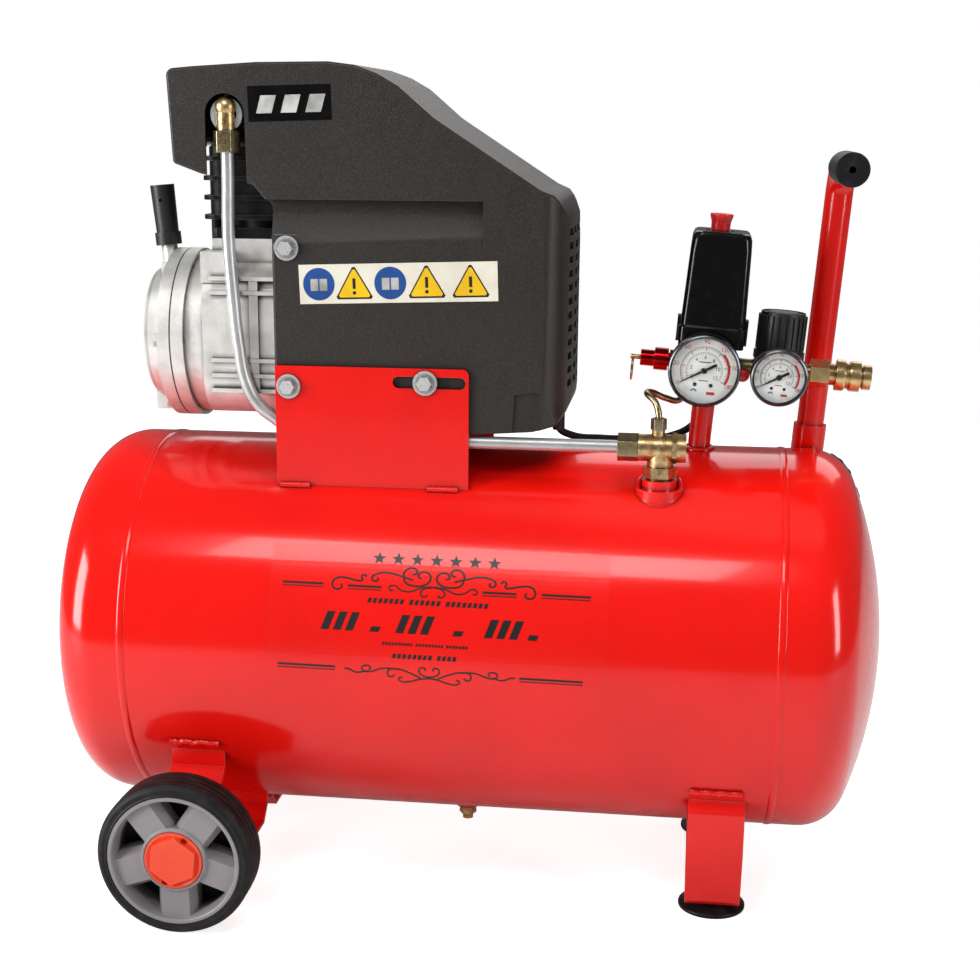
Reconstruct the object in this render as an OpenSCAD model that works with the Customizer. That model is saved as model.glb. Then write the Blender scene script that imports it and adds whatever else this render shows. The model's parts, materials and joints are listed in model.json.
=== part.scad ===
// Portable air compressor: a direct-drive pump and motor under one moulded cover, on a 50 litre
// class tank that rolls on two wheels and stands on two feet. Millimetres, +Z up, +X towards the
// gauges, +Y towards the back. The origin is on the floor under the middle of the tank.

/* [Tank] */
// Outside diameter of the tank
tank_d = 310; // [250:5:380]
// Length of the rolled shell between its two weld seams
shell_len = 506; // [420:2:620]
// Sheet thickness of shell and heads
tank_wall = 3; // [2:0.5:5]
// Straight flange of each pressed head, beyond its seam
head_flange = 24; // [15:1:40]
// Small radius that turns the flange into the crown
head_knuckle = 38; // [25:1:60]
// Large radius of the head's crown
head_crown = 340; // [300:5:440]
// Height of the tank's underside above the floor
ground_gap = 54; // [50:1:75]

/* [Running gear] */
// Outside diameter of the tyres
tyre_d = 125; // [110:1:150]
// Width of tyre and wheel
wheel_w = 35; // [28:1:45]
// Outside diameter of the plastic rim
rim_d = 106; // [90:1:108]
// Where the wheels stand along the tank
wheel_x = -205; // [-230:1:-150]
// Face of each wheel, out from the middle of the tank
wheel_face = 195; // [175:1:225]
// Diameter of the axle bolts
axle_d = 12; // [8:0.5:16]
// Width of the bent steel leg straps
strap_w = 44; // [30:1:60]
// Thickness of the leg straps
strap_t = 3; // [2:0.5:5]
// Middle of the foot straps along the tank
foot_x = 212; // [150:1:230]
// Middle of each rubber foot, out from the middle of the tank
foot_y = 79; // [60:1:100]
// Diameter of the rubber feet
foot_d = 54; // [40:1:70]
// Height of the rubber feet
foot_h = 10; // [6:1:16]

/* [Handle] */
// Diameter of the handle tube
handle_d = 22; // [16:1:30]
// Height of the handle's bar above the tank surface it is welded to
handle_h = 233; // [180:1:300]
// Lean of the handle towards the gauge end, in degrees
handle_lean = 3.8; // [0:0.1:8]
// Length of the rubber grip
grip_len = 72; // [50:1:90]
// Thickness of the rubber grip
grip_wall = 2; // [1:0.5:4]

/* [Pump] */
// Height of the crankshaft above the top of the tank
crank_h = 86; // [82:1:110]
// Where the cylinder stands along the tank
cyl_x = -164; // [-180:1:-140]
// Cylinder bore
bore_d = 48; // [42:0.5:50]
// Throw of the crankshaft, half the stroke
throw = 15; // [10:0.5:15]
// Length of the connecting rod between its two eyes
rod_len = 99; // [95:1:103]
// Diameter of the round crankcase flange
flange_d = 137; // [125:1:145]
// Diameter of the shaft in its bearings
shaft_d = 20; // [15:1:24]
// Diameter of the motor's stator
stator_d = 116; // [90:1:118]
// Length of the stator's core
stator_len = 66; // [50:1:80]

/* [Shroud] */
// Width of the moulded shroud, front to back
shroud_w = 158; // [150:1:180]
// Wall of the shroud
shroud_wall = 2.5; // [2:0.5:4]
// Rows of air slots in the shroud's end
vent_rows = 12; // [6:1:12]
// Columns of air slots in the shroud's end
vent_cols = 4; // [2:1:4]
// Thickness of the steel plates that carry the pump
plate_t = 3; // [2:0.5:5]

/* [Air fittings] */
// Diameter of the aluminium discharge tube
pipe_d = 10; // [8:0.5:12]
// Diameter of the unloader tube
unloader_d = 5; // [4:0.5:6]
// Diameter of the motor lead
lead_d = 6; // [5:0.5:8]
// Distance of the discharge tube and check valve in front of the tank's middle
pipe_y = 73; // [71:0.5:76]
// Lean of the gauge post towards the handle, in degrees
post_lean = 4; // [0:0.5:6]
// Where the gauge post stands along the tank
post_x = 187; // [180:1:195]
// Diameter of the gauge post
post_d = 18; // [14:1:22]
// Diameter of the tank pressure gauge
gauge_d = 56; // [45:1:58]
// Diameter of the outlet pressure gauge
line_gauge_d = 44; // [36:1:50]
// Diameter of the regulator knob
knob_d = 38; // [30:1:42]
// Bore of the quick coupler that takes the hose plug
coupler_bore = 11; // [9:0.5:12]

/* [Hidden] */
$fn = 64;

// Clearances that the fits share
run_gap = 0.05;    // a shaft that turns in its bore, on the radius
slide_gap = 0.4;   // a moving piece beside its neighbour
drop_in = 0.3;     // a fastener in its hole, on the radius

// Tank
tank_r = tank_d / 2;
axis_z = ground_gap + tank_r;
tank_top = axis_z + tank_r;
seam_x = shell_len / 2;
function tank_z(y) = axis_z + sqrt(tank_r * tank_r - y * y);   // height of the upper surface
handle_x = seam_x + head_flange;
handle_y = 57;

// Running gear
wheel_z = tyre_d / 2;
strap_x = wheel_x + 5;
strap_out = wheel_face - wheel_w - 4.5;      // outer face of the wheel strap
wheel_strap_low = 23;                        // middle of the strap's lowest run above the floor
check_x = post_x - 29;
boss_bore = 8;
boss_z = tank_z(pipe_y) + 7;
drain_r = 5;
hub_d = 50;
cap_d = 47;

// Pump, measured from the crankshaft
crank_z = tank_top + crank_h;
gasket_x = cyl_x - 67;
gasket_t = 1.2;
rear_wall_x = cyl_x + 24;                    // inner face of the wall that holds the main bearing
rear_wall_t = 15;
deck_z = crank_z + 79;                       // where the cylinder is bolted on
cyl_top = crank_z + 150;
head_plate_t = 3;
head_z = cyl_top + head_plate_t;
head_h = 42;
port_z = head_z + 26;                        // height of the discharge port
port_x = cyl_x - 14;
lug_x = cyl_x + 32;
low_lug_z = crank_z - 31;
top_lug_z = crank_z + 75;
bearing_d = 40;
bearing_w = 12;
stator_x = rear_wall_x + rear_wall_t + 13;
shield_x = stator_x + stator_len + 14;
shield_bolt_x = shield_x + 8;
shield_bolt_z = crank_z - 26;
fan_x = shield_x + 36;
pin_r = 9;
rod_w = 14;
web_x = cyl_x + 9;
web_t = 11;
wrist_z = crank_z + throw + rod_len;

// Shroud
shroud_half = shroud_w / 2;
shroud_left = cyl_x + 20;
shroud_right = cyl_x + 250;
shroud_low = tank_top + 20;
shroud_step = crank_z + 111;
shroud_top = crank_z + 210;
hood_left = cyl_x - 59;
plate_y = shroud_half + 0.4 + plate_t;       // outer face of the pump plates
lug_y = shroud_half - shroud_wall - 0.4;     // where the casting's lugs meet the shroud's wall

// Gauges and regulator, in the leaning frame of the post
line_z = 70.5;                               // height of the air line above the foot of the post
gauge_x = -3;
line_gauge_x = 54.5;
gauge_face = -50;
gauge_depth = 19;
switch_z = 86;
needle_zero = 210;                           // where the needles rest, anticlockwise from +X
coupler_x = 80;

// ---------- shared shapes ----------
module along_x(x) translate([x, 0, 0]) rotate([0, 90, 0]) children();
module along_y(y) translate([0, y, 0]) rotate([-90, 0, 0]) children();
module slab_x(x0, x1) translate([x0, 0, 0]) rotate([90, 0, 90]) linear_extrude(x1 - x0) children();
module slab_y(y0, y1) translate([0, y1, 0]) rotate([90, 0, 0]) linear_extrude(y1 - y0) children();
module block(low, high) translate(low) cube(high - low);
module both_sides() for (s = [0, 1]) mirror([0, s, 0]) children();
module at_pump(x) translate([x, 0, crank_z]) children();
module on_post() translate([post_x, 0, tank_top - 1]) rotate([0, post_lean, 0]) children();
module on_line(x) on_post() translate([x, 0, line_z]) children();
module at_handle() translate([handle_x, handle_y, tank_z(handle_y)]) rotate([0, handle_lean,
    0]) children();
module hex(af, h) cylinder(d = af / cos(30), h = h, $fn = 6);
module rounded(w, h, r) {
    square([w - 2 * r, h], center = true);
    square([w, h - 2 * r], center = true);
    for (x = [-1, 1], y = [-1, 1]) translate([x * (w / 2 - r), y * (h / 2 - r)]) circle(r);
}
module tube(d, wall, h) difference() {
    cylinder(d = d, h = h);
    translate([0, 0, -1]) cylinder(d = d - 2 * wall, h = h + 2);
}
module tank_rod(r, half) translate([-half, 0, axis_z]) rotate([0, 90, 0]) cylinder(r = r, h = 2 * half,
    $fn = 128);
module head_shape(wall) translate([seam_x, 0, axis_z]) rotate([0, 90, 0]) rotate_extrude($fn = 128)
    head_outline(tank_r - wall, head_knuckle - wall, head_crown - wall);
module tank_space() {
    tank_rod(tank_r, seam_x + 1);
    for (s = [0, 1]) mirror([s, 0, 0]) head_shape(0);
}
// a bent strip, as the outline of its edge
module strip(points, t) {
    last = len(points) - 1;
    side = [for (i = [0 : last]) let (
        into = step(points, max(i, 1)), out = step(points, min(i + 1, last)), mid = into + out)
        [-mid[1], mid[0]] * t / (mid * mid)];
    polygon(concat([for (i = [0 : last]) points[i] + side[i]],
                   [for (i = [last : -1 : 0]) points[i] - side[i]]));
}
function step(points, i) = let (run = points[i] - points[i - 1]) run / norm(run);

// A tube swept along a route: rounded corners, then one ring of points at each step
function rounded_route(p, n) = n == 0 ? p : rounded_route(
    concat([p[0]], [for (i = [0 : len(p) - 2]) each [p[i] * 0.75 + p[i + 1] * 0.25,
                                                     p[i] * 0.25 + p[i + 1] * 0.75]], [p[len(p) - 1]]),
                                                         n - 1);
function direction(p, i) = let (d = p[min(i + 1, len(p) - 1)] - p[max(i - 1, 0)]) d / norm(d);
module swept(route, d, sides) {
    n = len(route);
    side = [0, 1, 0];
    rings = [for (i = [0 : n - 1]) let (t = direction(route, i), u0 = cross(t, abs(t[1]) > 0.9 ? [1, 0,
        0] : side),
        u = u0 / norm(u0), v = cross(t, u)) each
        [for (k = [0 : sides - 1]) route[i] + d / 2 * (cos(360 * k / sides) * u + sin(360 * k / sides) *
            v)]];
    walls = [for (i = [0 : n - 2], k = [0 : sides - 1]) let (a = i * sides, b = a + sides,
        m = (k + 1) % sides)
        [a + k, a + m, b + m, b + k]];
    polyhedron(rings, concat([[for (k = [sides - 1 : -1 : 0]) k]], walls,
                             [[for (k = [0 : sides - 1]) (n - 1) * sides + k]]), convexity = 6);
}

// ---------- tank ----------
module tank_shell() color("#d8160f") difference() {
    tank_rod(tank_r, seam_x);
    tank_rod(tank_r - tank_wall, seam_x + 1);
    translate([check_x, -pipe_y, axis_z]) cylinder(r = boss_bore, h = tank_r);
    translate([0, 0, ground_gap - 3]) cylinder(r = drain_r + drop_in, h = tank_wall + 6);
    on_post() translate([0, 0, -12]) cylinder(r = post_d / 2 - 3, h = 24);
}
// half section of a pressed head, outside radius first, out from the seam
module head_outline(r, knuckle, crown) {
    turn = asin((r - knuckle) / (crown - knuckle));
    back = head_flange - (crown - knuckle) * cos(turn);
    polygon(concat([[0, 0]], [for (i = [0 : 12]) let (a = turn * i / 12) [crown * sin(a),
        back + crown * cos(a)]],
        [for (i = [1 : 10]) let (a = turn + (90 - turn) * i / 10)
        [r - knuckle + knuckle * sin(a), head_flange + knuckle * cos(a)]], [[r, 0]]));
}
module tank_heads() color("#d8160f") for (s = [0, 1]) mirror([s, 0, 0]) difference() {
    head_shape(0);
    translate([-0.01, 0, 0]) head_shape(tank_wall);
}
module tank_bosses() color("#c81410") difference() {
    union() {
        // socket of the check valve
        translate([check_x, -pipe_y, boss_z - 24]) {
            cylinder(d = 27, h = 24);
            cylinder(d = 37, h = 17);
        }
        // drain socket under the belly
        translate([0, 0, ground_gap - 12]) cylinder(d = 20, h = 16);
        // collar round the foot of the handle
        at_handle() translate([0, 0, -14]) cylinder(d = handle_d + 5, h = 38);
    }
    tank_space();
    translate([check_x, -pipe_y, axis_z]) cylinder(r = boss_bore, h = tank_r);
    translate([0, 0, ground_gap - 20]) cylinder(r = drain_r + drop_in, h = 40);
    at_handle() translate([0, 0, -30]) cylinder(d = handle_d, h = 80);
}
module manifold_post() color("#d8160f") difference() {
    on_post() translate([0, 0, -12]) tube(post_d, 3, line_z - 14 + 12);
    tank_space();
}
// screw of the drain, with its hexagon and cross hole below
module drain_screw() color("#c9a54c") difference() {
    translate([0, 0, ground_gap - 24]) {
        translate([0, 0, 4]) cylinder(r = drain_r + drop_in - run_gap, h = 26);
        translate([0, 0, 5]) hex(13, 6.5);
        cylinder(d = 9, h = 6);
    }
    translate([0, 0, ground_gap - 25]) cylinder(d = 4, h = 12);
    translate([-10, 0, ground_gap - 15]) rotate([0, 90, 0]) cylinder(d = 2.5, h = 20);
}
// rating plate, bent off two tabs on the shoulder of the right head
plate_mid = [seam_x + 66.5, axis_z + 111];
module data_plate() color("#c9ccd0") translate([plate_mid[0], 0, plate_mid[1]]) rotate([0, 68.5,
    0]) difference() {
    translate([-36, -26, 2.4]) cube([72, 52, 1.2]);
    for (x = [-32, 32], y = [-22, 22]) translate([x, y, 0]) cylinder(d = 3.2, h = 6, $fn = 24);
}

// ---------- running gear ----------
module wheel_brackets() color("#cf1812") both_sides() difference() {
    slab_x(strap_x - strap_w / 2, strap_x + strap_w / 2)
        strip([[-strap_out + 22.5, axis_z - 66], [-strap_out + 21, axis_z - 90], [-strap_out + strap_t / 2,
            wheel_z + 41],
               [-strap_out + strap_t / 2, wheel_strap_low + 9], [-strap_out + 10, wheel_strap_low],
               [-22, wheel_strap_low], [-9, wheel_strap_low + 12], [-9, ground_gap + 10]], strap_t);
    tank_space();
    translate([wheel_x, 0, wheel_z]) rotate([90, 0, 0]) cylinder(r = axle_d / 2 + drop_in,
        h = wheel_face);
}
module foot_brackets() color("#cf1812") both_sides() difference() {
    slab_x(foot_x - strap_w / 2, foot_x + strap_w / 2)
        strip([[-foot_y - 36, axis_z - 88], [-foot_y - 38, axis_z - 106], [-foot_y - 42, axis_z - 112],
               [-foot_y - 41.5, axis_z - 147], [-foot_y - 25, foot_h + 6], [-foot_y - 20,
                   foot_h + strap_t / 2], [-20, foot_h + strap_t / 2],
               [-9, foot_h + 12], [-9, ground_gap + 10]], strap_t);
    tank_space();
    translate([foot_x, -foot_y, 0]) cylinder(r = 6 + drop_in, h = foot_h + 10);
}
module rubber_feet() color("#1b1b1c") both_sides() translate([foot_x, -foot_y,
    0]) rotate_extrude() polygon([
    [0, 0], [foot_d / 2, 0], [foot_d / 2, 3], [foot_d / 2 - 2, 4], [foot_d / 2 - 12, foot_h - 1],
    [foot_d / 2 - 13, foot_h], [6, foot_h], [6, foot_h + strap_t], [8.5, foot_h + strap_t],
    [7, foot_h + strap_t + 4], [0, foot_h + strap_t + 4]]);
// shouldered bolt, washer and nut that carry each wheel
module axles() color("#b9bcc0") both_sides() translate([wheel_x, -wheel_face, wheel_z]) rotate([-90, 0,
    0]) {
    translate([0, 0, 5]) hex(18, 6);
    translate([0, 0, 10]) cylinder(d = axle_d, h = wheel_w + 16);
    translate([0, 0, wheel_w + 0.8]) cylinder(d = 24, h = 3.2);
    translate([0, 0, wheel_w + 4.5 + strap_t]) hex(18, 10);
}
module at_wheel(side) mirror([0, side, 0]) translate([wheel_x, -wheel_face, wheel_z]) rotate([-90, 0,
    0]) children();
module rim() difference() {
    union() {
        difference() {
            translate([0, 0, 1]) cylinder(d = rim_d, h = wheel_w - 2);
            cylinder(d = rim_d - 10, h = 9);
            translate([0, 0, 9]) cylinder(d = rim_d - 10, h = wheel_w);
        }
        translate([0, 0, 2]) cylinder(d = hub_d, h = wheel_w - 2.2);
        translate([0, 0, wheel_w - 6]) cylinder(d = rim_d - 9, h = 1.8);
        for (i = [0 : 4]) rotate(90 + 72 * i) translate([0, -13, 4]) cube([rim_d / 2 - 2, 26, 18]);
    }
    translate([0, 0, -1]) cylinder(d = cap_d - 1, h = 12);
    cylinder(r = axle_d / 2 + run_gap, h = wheel_w + 1);
}
module tyre() rotate_extrude($fn = 128) polygon([[rim_d / 2, 0], [tyre_d / 2 - 4, 0], [tyre_d / 2 - 1,
    1.5],
    [tyre_d / 2, 5], [tyre_d / 2, wheel_w - 5], [tyre_d / 2 - 1, wheel_w - 1.5], [tyre_d / 2 - 4,
        wheel_w],
    [rim_d / 2, wheel_w]]);
module wheel_cap() {
    difference() {
        translate([0, 0, 0.2]) cylinder(d = cap_d - 1, h = 4.3);
        for (a = [100, 240]) rotate(a) translate([cap_d / 2 - 5, -2.5, -1]) cube([6, 5, 3]);
    }
    translate([0, 0, -1.6]) hex(33, 2);
}
module wheel_rim_front() color("#8a8890") at_wheel(0) rim();
module wheel_rim_back() color("#8a8890") at_wheel(1) rim();
module tyre_front() color("#222224") at_wheel(0) tyre();
module tyre_back() color("#222224") at_wheel(1) tyre();
module wheel_cap_front() color("#ee4a25") at_wheel(0) wheel_cap();
module wheel_cap_back() color("#ee4a25") at_wheel(1) wheel_cap();

// ---------- handle ----------
bend_r = 22;
module handle_tube() color("#d8160f") difference() {
    at_handle() difference() {
        handle_rod(handle_d);
        handle_rod(handle_d - 4);
    }
    tank_space();
}
module handle_rod(d) {
    translate([0, 0, -14]) cylinder(d = d, h = handle_h + 14 - bend_r);
    translate([0, -bend_r, handle_h - bend_r]) rotate([0, 0, 90]) rotate([90, 0, 0])
        rotate_extrude(angle = 90) translate([bend_r, 0]) circle(d = d, $fn = 48);
    translate([0, -bend_r, handle_h]) rotate([90, 0, 0]) cylinder(d = d, h = grip_len + 2);
}
module handle_grip() color("#202022") at_handle() translate([0, -bend_r - 2, handle_h]) rotate([90, 0, 0])
    difference() {
        cylinder(d = handle_d + 2 * grip_wall, h = grip_len + 3);
        translate([0, 0, -1]) cylinder(d = handle_d, h = grip_len + 1);
        cylinder(d = 5, h = grip_len + 9);
    }

// ---------- pump brackets and bolts ----------
plate_low = tank_z(plate_y) - 8;
slot_len = 57;
module pump_brackets() color("#d8160f") both_sides() difference() {
    slab_y(-plate_y, -plate_y + plate_t) difference() {
        translate([shroud_left + 1, plate_low]) square([153, crank_z - 15 - plate_low]);
        translate([shroud_left + 154 - 5, crank_z - 15 - 5]) difference() {
            square(6);
            circle(r = 5);
        }
        translate([lug_x, low_lug_z]) circle(d = 9);
        for (x = [-1, 1]) translate([shield_bolt_x + 3 + x * (slot_len / 2 - 4.5),
            shield_bolt_z]) circle(d = 9);
        translate([shield_bolt_x + 3 - slot_len / 2 + 4.5, shield_bolt_z - 4.5]) square([slot_len - 9,
            9]);
    }
    tank_space();
}
// hexagon bolt with a large washer, its head towards -Y
module bolt_and_washer(x, z, wall_y) translate([x, -wall_y, z]) rotate([90, 0, 0]) {
    difference() {
        cylinder(d = 19, h = 1.8);
        translate([0, 0, -1]) cylinder(d = 8 + 2 * drop_in, h = 4);
    }
    translate([0, 0, 1.8]) {
        cylinder(d = 13, h = 1.6);
        hex(10, 5.8);
    }
    translate([0, 0, -14]) cylinder(d = 8, h = 16);
}
module mounting_bolts() color("#cfd1d4") both_sides() {
    bolt_and_washer(lug_x, low_lug_z, plate_y);
    bolt_and_washer(shield_bolt_x, shield_bolt_z, plate_y);
    bolt_and_washer(lug_x, top_lug_z, shroud_half);
}
module bolt_space(x, z) both_sides() translate([x, -plate_y - 1, z]) rotate([-90, 0,
    0]) cylinder(d = 8, h = 19);

// ---------- crankcase and pump ----------
module crankcase() color("#d3d3d1") difference() {
    union() {
        at_pump(0) {
            along_x(gasket_x) cylinder(d = flange_d, h = 10);
            along_x(gasket_x + 9) cylinder(d = flange_d - 8, h = 18);
            slab_x(gasket_x + 26, rear_wall_x + rear_wall_t) translate([0, 1]) rounded(132, 122, 34);
        }
        block([cyl_x - 38, -41, crank_z + 30], [rear_wall_x + rear_wall_t, 41, deck_z]);
        both_sides() {
            // lugs that take the mounting bolts
            for (z = [low_lug_z, top_lug_z]) block([lug_x - 10, -lug_y, z - 10], [lug_x + 7, -38,
                z + 10]);
            // bolt boss on the shoulder
            block([cyl_x - 42, -62, crank_z + 46], [cyl_x - 21, -38, crank_z + 70]);
            // cast ribs along the side
            for (z = [50, 39, -14, -26, -38]) block([cyl_x - 34, -68.5, crank_z + z - 1.5],
                                                    [rear_wall_x - 4, -60, crank_z + z + 1.5]);
            block([cyl_x - 2, -68, crank_z - 38], [cyl_x + 5, -60, crank_z + 50]);
        }
    }
    // crank space, cylinder opening and bearing seat
    at_pump(0) {
        along_x(gasket_x - 1) cylinder(r = 56, h = rear_wall_x - gasket_x + 1);
        along_x(rear_wall_x - 1) cylinder(d = bearing_d, h = bearing_w + 1);
        along_x(rear_wall_x) cylinder(d = shaft_d + 4, h = rear_wall_t + 1);
    }
    translate([cyl_x, 0, crank_z]) cylinder(r = bore_d / 2 + 0.5, h = 90);
    both_sides() translate([cyl_x - 43, -52, crank_z + 61]) rotate([0, 90, 0]) cylinder(d = 7, h = 14);
    bolt_space(lug_x, low_lug_z);
    bolt_space(lug_x, top_lug_z);
    screw_holes();
}
module ring_of_screws() for (i = [0 : 5]) rotate(30 + 60 * i) translate([flange_d / 2 - 6.5, 0,
    0]) children();
module screw_holes() {
    at_pump(0) along_x(gasket_x - gasket_t - 20) ring_of_screws() cylinder(d = 6, h = 32, $fn = 24);
    for (x = [-36, 36], y = [-33, 33]) translate([cyl_x + x, y, crank_z]) cylinder(d = 8, h = 150 + 60,
        $fn = 32);
}
module crankcase_gasket() color("#3a3a38") difference() {
    at_pump(0) along_x(gasket_x - gasket_t) cylinder(d = flange_d, h = gasket_t);
    at_pump(0) along_x(gasket_x - 5) cylinder(d = flange_d - 26, h = 9);
    screw_holes();
}
cover_x = gasket_x - gasket_t;
glass_z = crank_z - 25;
module crankcase_cover() color("#dcdcda") difference() {
    union() {
        at_pump(0) {
            along_x(cover_x - 10) cylinder(d = flange_d, h = 10);
            along_x(cover_x - 22) cylinder(d = flange_d - 28, h = 14);
            along_x(cover_x - 26) cylinder(d = flange_d - 34, h = 14);
        }
        // oil sump bulge and the seat of the sight glass
        translate([cover_x - 29.5, 0, glass_z]) rotate([0, 90, 0]) cylinder(d = 40, h = 10);
        block([cover_x - 27, -22, crank_z - 62], [cover_x - 4, 22, crank_z - 46]);
        // neck of the breather
        translate([breather_x, 0, crank_z + 46]) rotate([0, -breather_lean, 0]) cylinder(d = 13,
            h = neck_h);
    }
    at_pump(0) along_x(cover_x - 18) cylinder(d = flange_d - 36, h = 20);
    translate([cover_x - 31, 0, glass_z]) rotate([0, 90, 0]) cylinder(d = 28, h = 4.5);
    translate([breather_x, 0, crank_z + 40]) rotate([0, -breather_lean, 0]) cylinder(d = 7, h = 30);
    screw_holes();
}
module pump_screws() color("#c4c6c9") {
    at_pump(0) along_x(cover_x - 10) ring_of_screws() {
        cylinder(d = 6, h = 20, $fn = 24);
        translate([0, 0, -4]) hex(10, 4.01);
    }
    for (x = [-36, 36], y = [-33, 33]) translate([cyl_x + x, y, 0]) {
        translate([0, 0, head_z + head_h - 1]) hex(13, 6);
        translate([0, 0, deck_z - 16]) cylinder(d = 8, h = head_z + head_h - deck_z + 15, $fn = 32);
    }
}
module oil_sight_glass() color("#b9cfd2", 0.6) translate([cover_x - 30.5, 0, glass_z]) rotate([0, 90,
    0]) {
    cylinder(d = 28, h = 4);
}
breather_x = cover_x - 16;
breather_lean = 5;
neck_h = 25;
module breather_pipe() color("#222222") translate([breather_x, 0, crank_z + 46]) rotate([0,
    -breather_lean, 0])
    translate([0, 0, neck_h]) difference() {
        union() {
            cylinder(d = 21, h = 10);
            translate([0, 0, 9]) cylinder(d1 = 18, d2 = 19.5, h = 39);
        }
        translate([0, 0, 8]) cylinder(d = 14, h = 45);
        translate([0, 0, 36]) rotate([90, 0, 0]) cylinder(d = 3, h = 30, $fn = 24);
    }
module cylinder_fin(z, half, t) translate([cyl_x, 0, z]) linear_extrude(t) rounded(2 * half, 2 * half,
    12);
module cylinder_block() {
    translate([cyl_x - 37, -37, deck_z]) cube([74, 74, 8]);
    translate([cyl_x, 0, deck_z]) cylinder(r = bore_d / 2 + 4, h = 20);
    cylinder_fin(deck_z + 15, 41, cyl_top - deck_z - 15);
    for (i = [0 : 3]) cylinder_fin(deck_z + 15 + 15 * i, 45, 3.5);
}
module cylinder_node() color("#2b2b2b") difference() {
    cylinder_block();
    translate([cyl_x, 0, deck_z - 1]) cylinder(r = bore_d / 2, h = cyl_top - deck_z + 2);
    screw_holes();
}
module valve_plate() color("#9fa2a5") difference() {
    cylinder_fin(cyl_top, 45, head_plate_t);
    for (x = [-9, 9]) translate([cyl_x + x, 0, cyl_top - 1]) cylinder(d = 7, h = head_plate_t + 2,
        $fn = 32);
    screw_holes();
}
module cylinder_head() color("#8d8f92") difference() {
    union() {
        cylinder_fin(head_z, 40, head_h - 1);
        for (i = [0 : 3]) cylinder_fin(head_z + 12 * i, 45, 4);
        translate([port_x, -49, port_z]) rotate([-90, 0, 0]) cylinder(d = 22, h = 20);
    }
    // exhaust and intake chambers
    for (s = [-1, 1]) translate([cyl_x + s * 13 - 8, -24, head_z - 1]) cube([16, 48, 30]);
    translate([port_x, -50, port_z]) rotate([-90, 0, 0]) cylinder(d = 10, h = 30);
    screw_holes();
}
crown_h = 24;
module piston() color("#c9cbce") difference() {
    translate([cyl_x, 0, wrist_z - 7]) cylinder(r = bore_d / 2 - run_gap, h = crown_h + 7);
    translate([cyl_x, 0, wrist_z - 8]) cylinder(r = bore_d / 2 - 1.8, h = crown_h - 4);
    for (i = [0 : 2]) translate([cyl_x, 0, wrist_z + crown_h - 5 - 4 * i])
        difference() {
            cylinder(r = bore_d / 2 + 1, h = 2);
            translate([0, 0, -1]) cylinder(r = bore_d / 2 - 1.6, h = 4);
        }
}
// rod between the crankpin and the short wrist pin that stands in its upper eye
module connecting_rod() color("#b7babd") {
    difference() {
        translate([cyl_x, 0, crank_z + throw]) rotate([0, 90, 0]) {
            translate([0, 0, -rod_w / 2]) cylinder(r = pin_r + 6, h = rod_w);
            translate([-rod_len, 0, -rod_w / 2]) cylinder(r = 7, h = rod_w);
            translate([-rod_len, -4.5, -3]) cube([rod_len - pin_r - 2, 9, 6]);
            translate([pin_r + 4, -2, -2]) cube([14, 4, 4]);
        }
        translate([cyl_x - 20, 0, crank_z + throw]) rotate([0, 90, 0]) cylinder(r = pin_r + run_gap,
            h = 40);
        translate([cyl_x - 20, 0, wrist_z]) rotate([0, 90, 0]) cylinder(r = 4.5, h = 40);
    }
    translate([cyl_x - rod_w / 2 - 1, 0, wrist_z]) rotate([0, 90, 0]) cylinder(r = 4.5, h = rod_w + 2);
}
module crankshaft() color("#a9acaf") at_pump(0) {
    // crankpin, web with its counterweight, then the shaft through both bearings to the fan
    translate([0, 0, throw]) along_x(cyl_x - rod_w / 2 - 3) cylinder(r = pin_r,
        h = web_x - cyl_x + rod_w / 2 + 3);
    slab_x(web_x, web_x + web_t) {
        circle(r = 15);
        translate([0, throw]) circle(r = pin_r + 4);
        difference() {
            translate([0, -6]) circle(r = 34);
            translate([-50, -8]) square([100, 60]);
        }
    }
    along_x(web_x + web_t) cylinder(d = shaft_d, h = shield_x - web_x + 6);
    along_x(shield_x) cylinder(d = shaft_d - 6, h = fan_x + 30 - shield_x);
}
module bearing(x) at_pump(0) along_x(x) difference() {
    cylinder(d = bearing_d, h = bearing_w);
    translate([0, 0, -1]) cylinder(r = shaft_d / 2 + run_gap, h = bearing_w + 2);
}
module shaft_bearings() color("#d0d2d5") {
    bearing(rear_wall_x);
    bearing(shield_x - 6);
}
module motor_stator() color("#7c4a2a") at_pump(0) {
    difference() {
        along_x(stator_x) cylinder(d = stator_d, h = stator_len);
        along_x(stator_x - 1) cylinder(d = 64.8, h = stator_len + 2);
    }
    // copper end turns
    for (x = [stator_x - 12, stator_x + stator_len]) difference() {
        along_x(x) cylinder(d = 100, h = 12);
        along_x(x - 1) cylinder(d = 70, h = 14);
    }
}
module motor_rotor() color("#9a9ca0") at_pump(0) difference() {
    along_x(stator_x - 2) cylinder(d = 64, h = stator_len + 4);
    along_x(stator_x - 3) cylinder(d = shaft_d, h = stator_len + 6);
}
module motor_end_shield() color("#c4c6c8") difference() {
    at_pump(0) {
        along_x(shield_x) cylinder(d = stator_d + 4, h = 6);
        along_x(shield_x - 9) cylinder(d = bearing_d + 10, h = 20);
        both_sides() block([shield_x, -lug_y, shield_bolt_z - crank_z - 9],
                           [shield_x + 16, -42, shield_bolt_z - crank_z + 9]);
    }
    at_pump(0) along_x(shield_x - 10) cylinder(d = bearing_d, h = bearing_w + 4);
    at_pump(0) along_x(shield_x) cylinder(d = shaft_d, h = 30);
    for (a = [0 : 45 : 315]) at_pump(0) along_x(shield_x - 1) rotate(a) translate([42, 0,
        0]) cylinder(d = 18, h = 8);
    bolt_space(shield_bolt_x, shield_bolt_z);
}
fan_r = 56;
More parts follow.
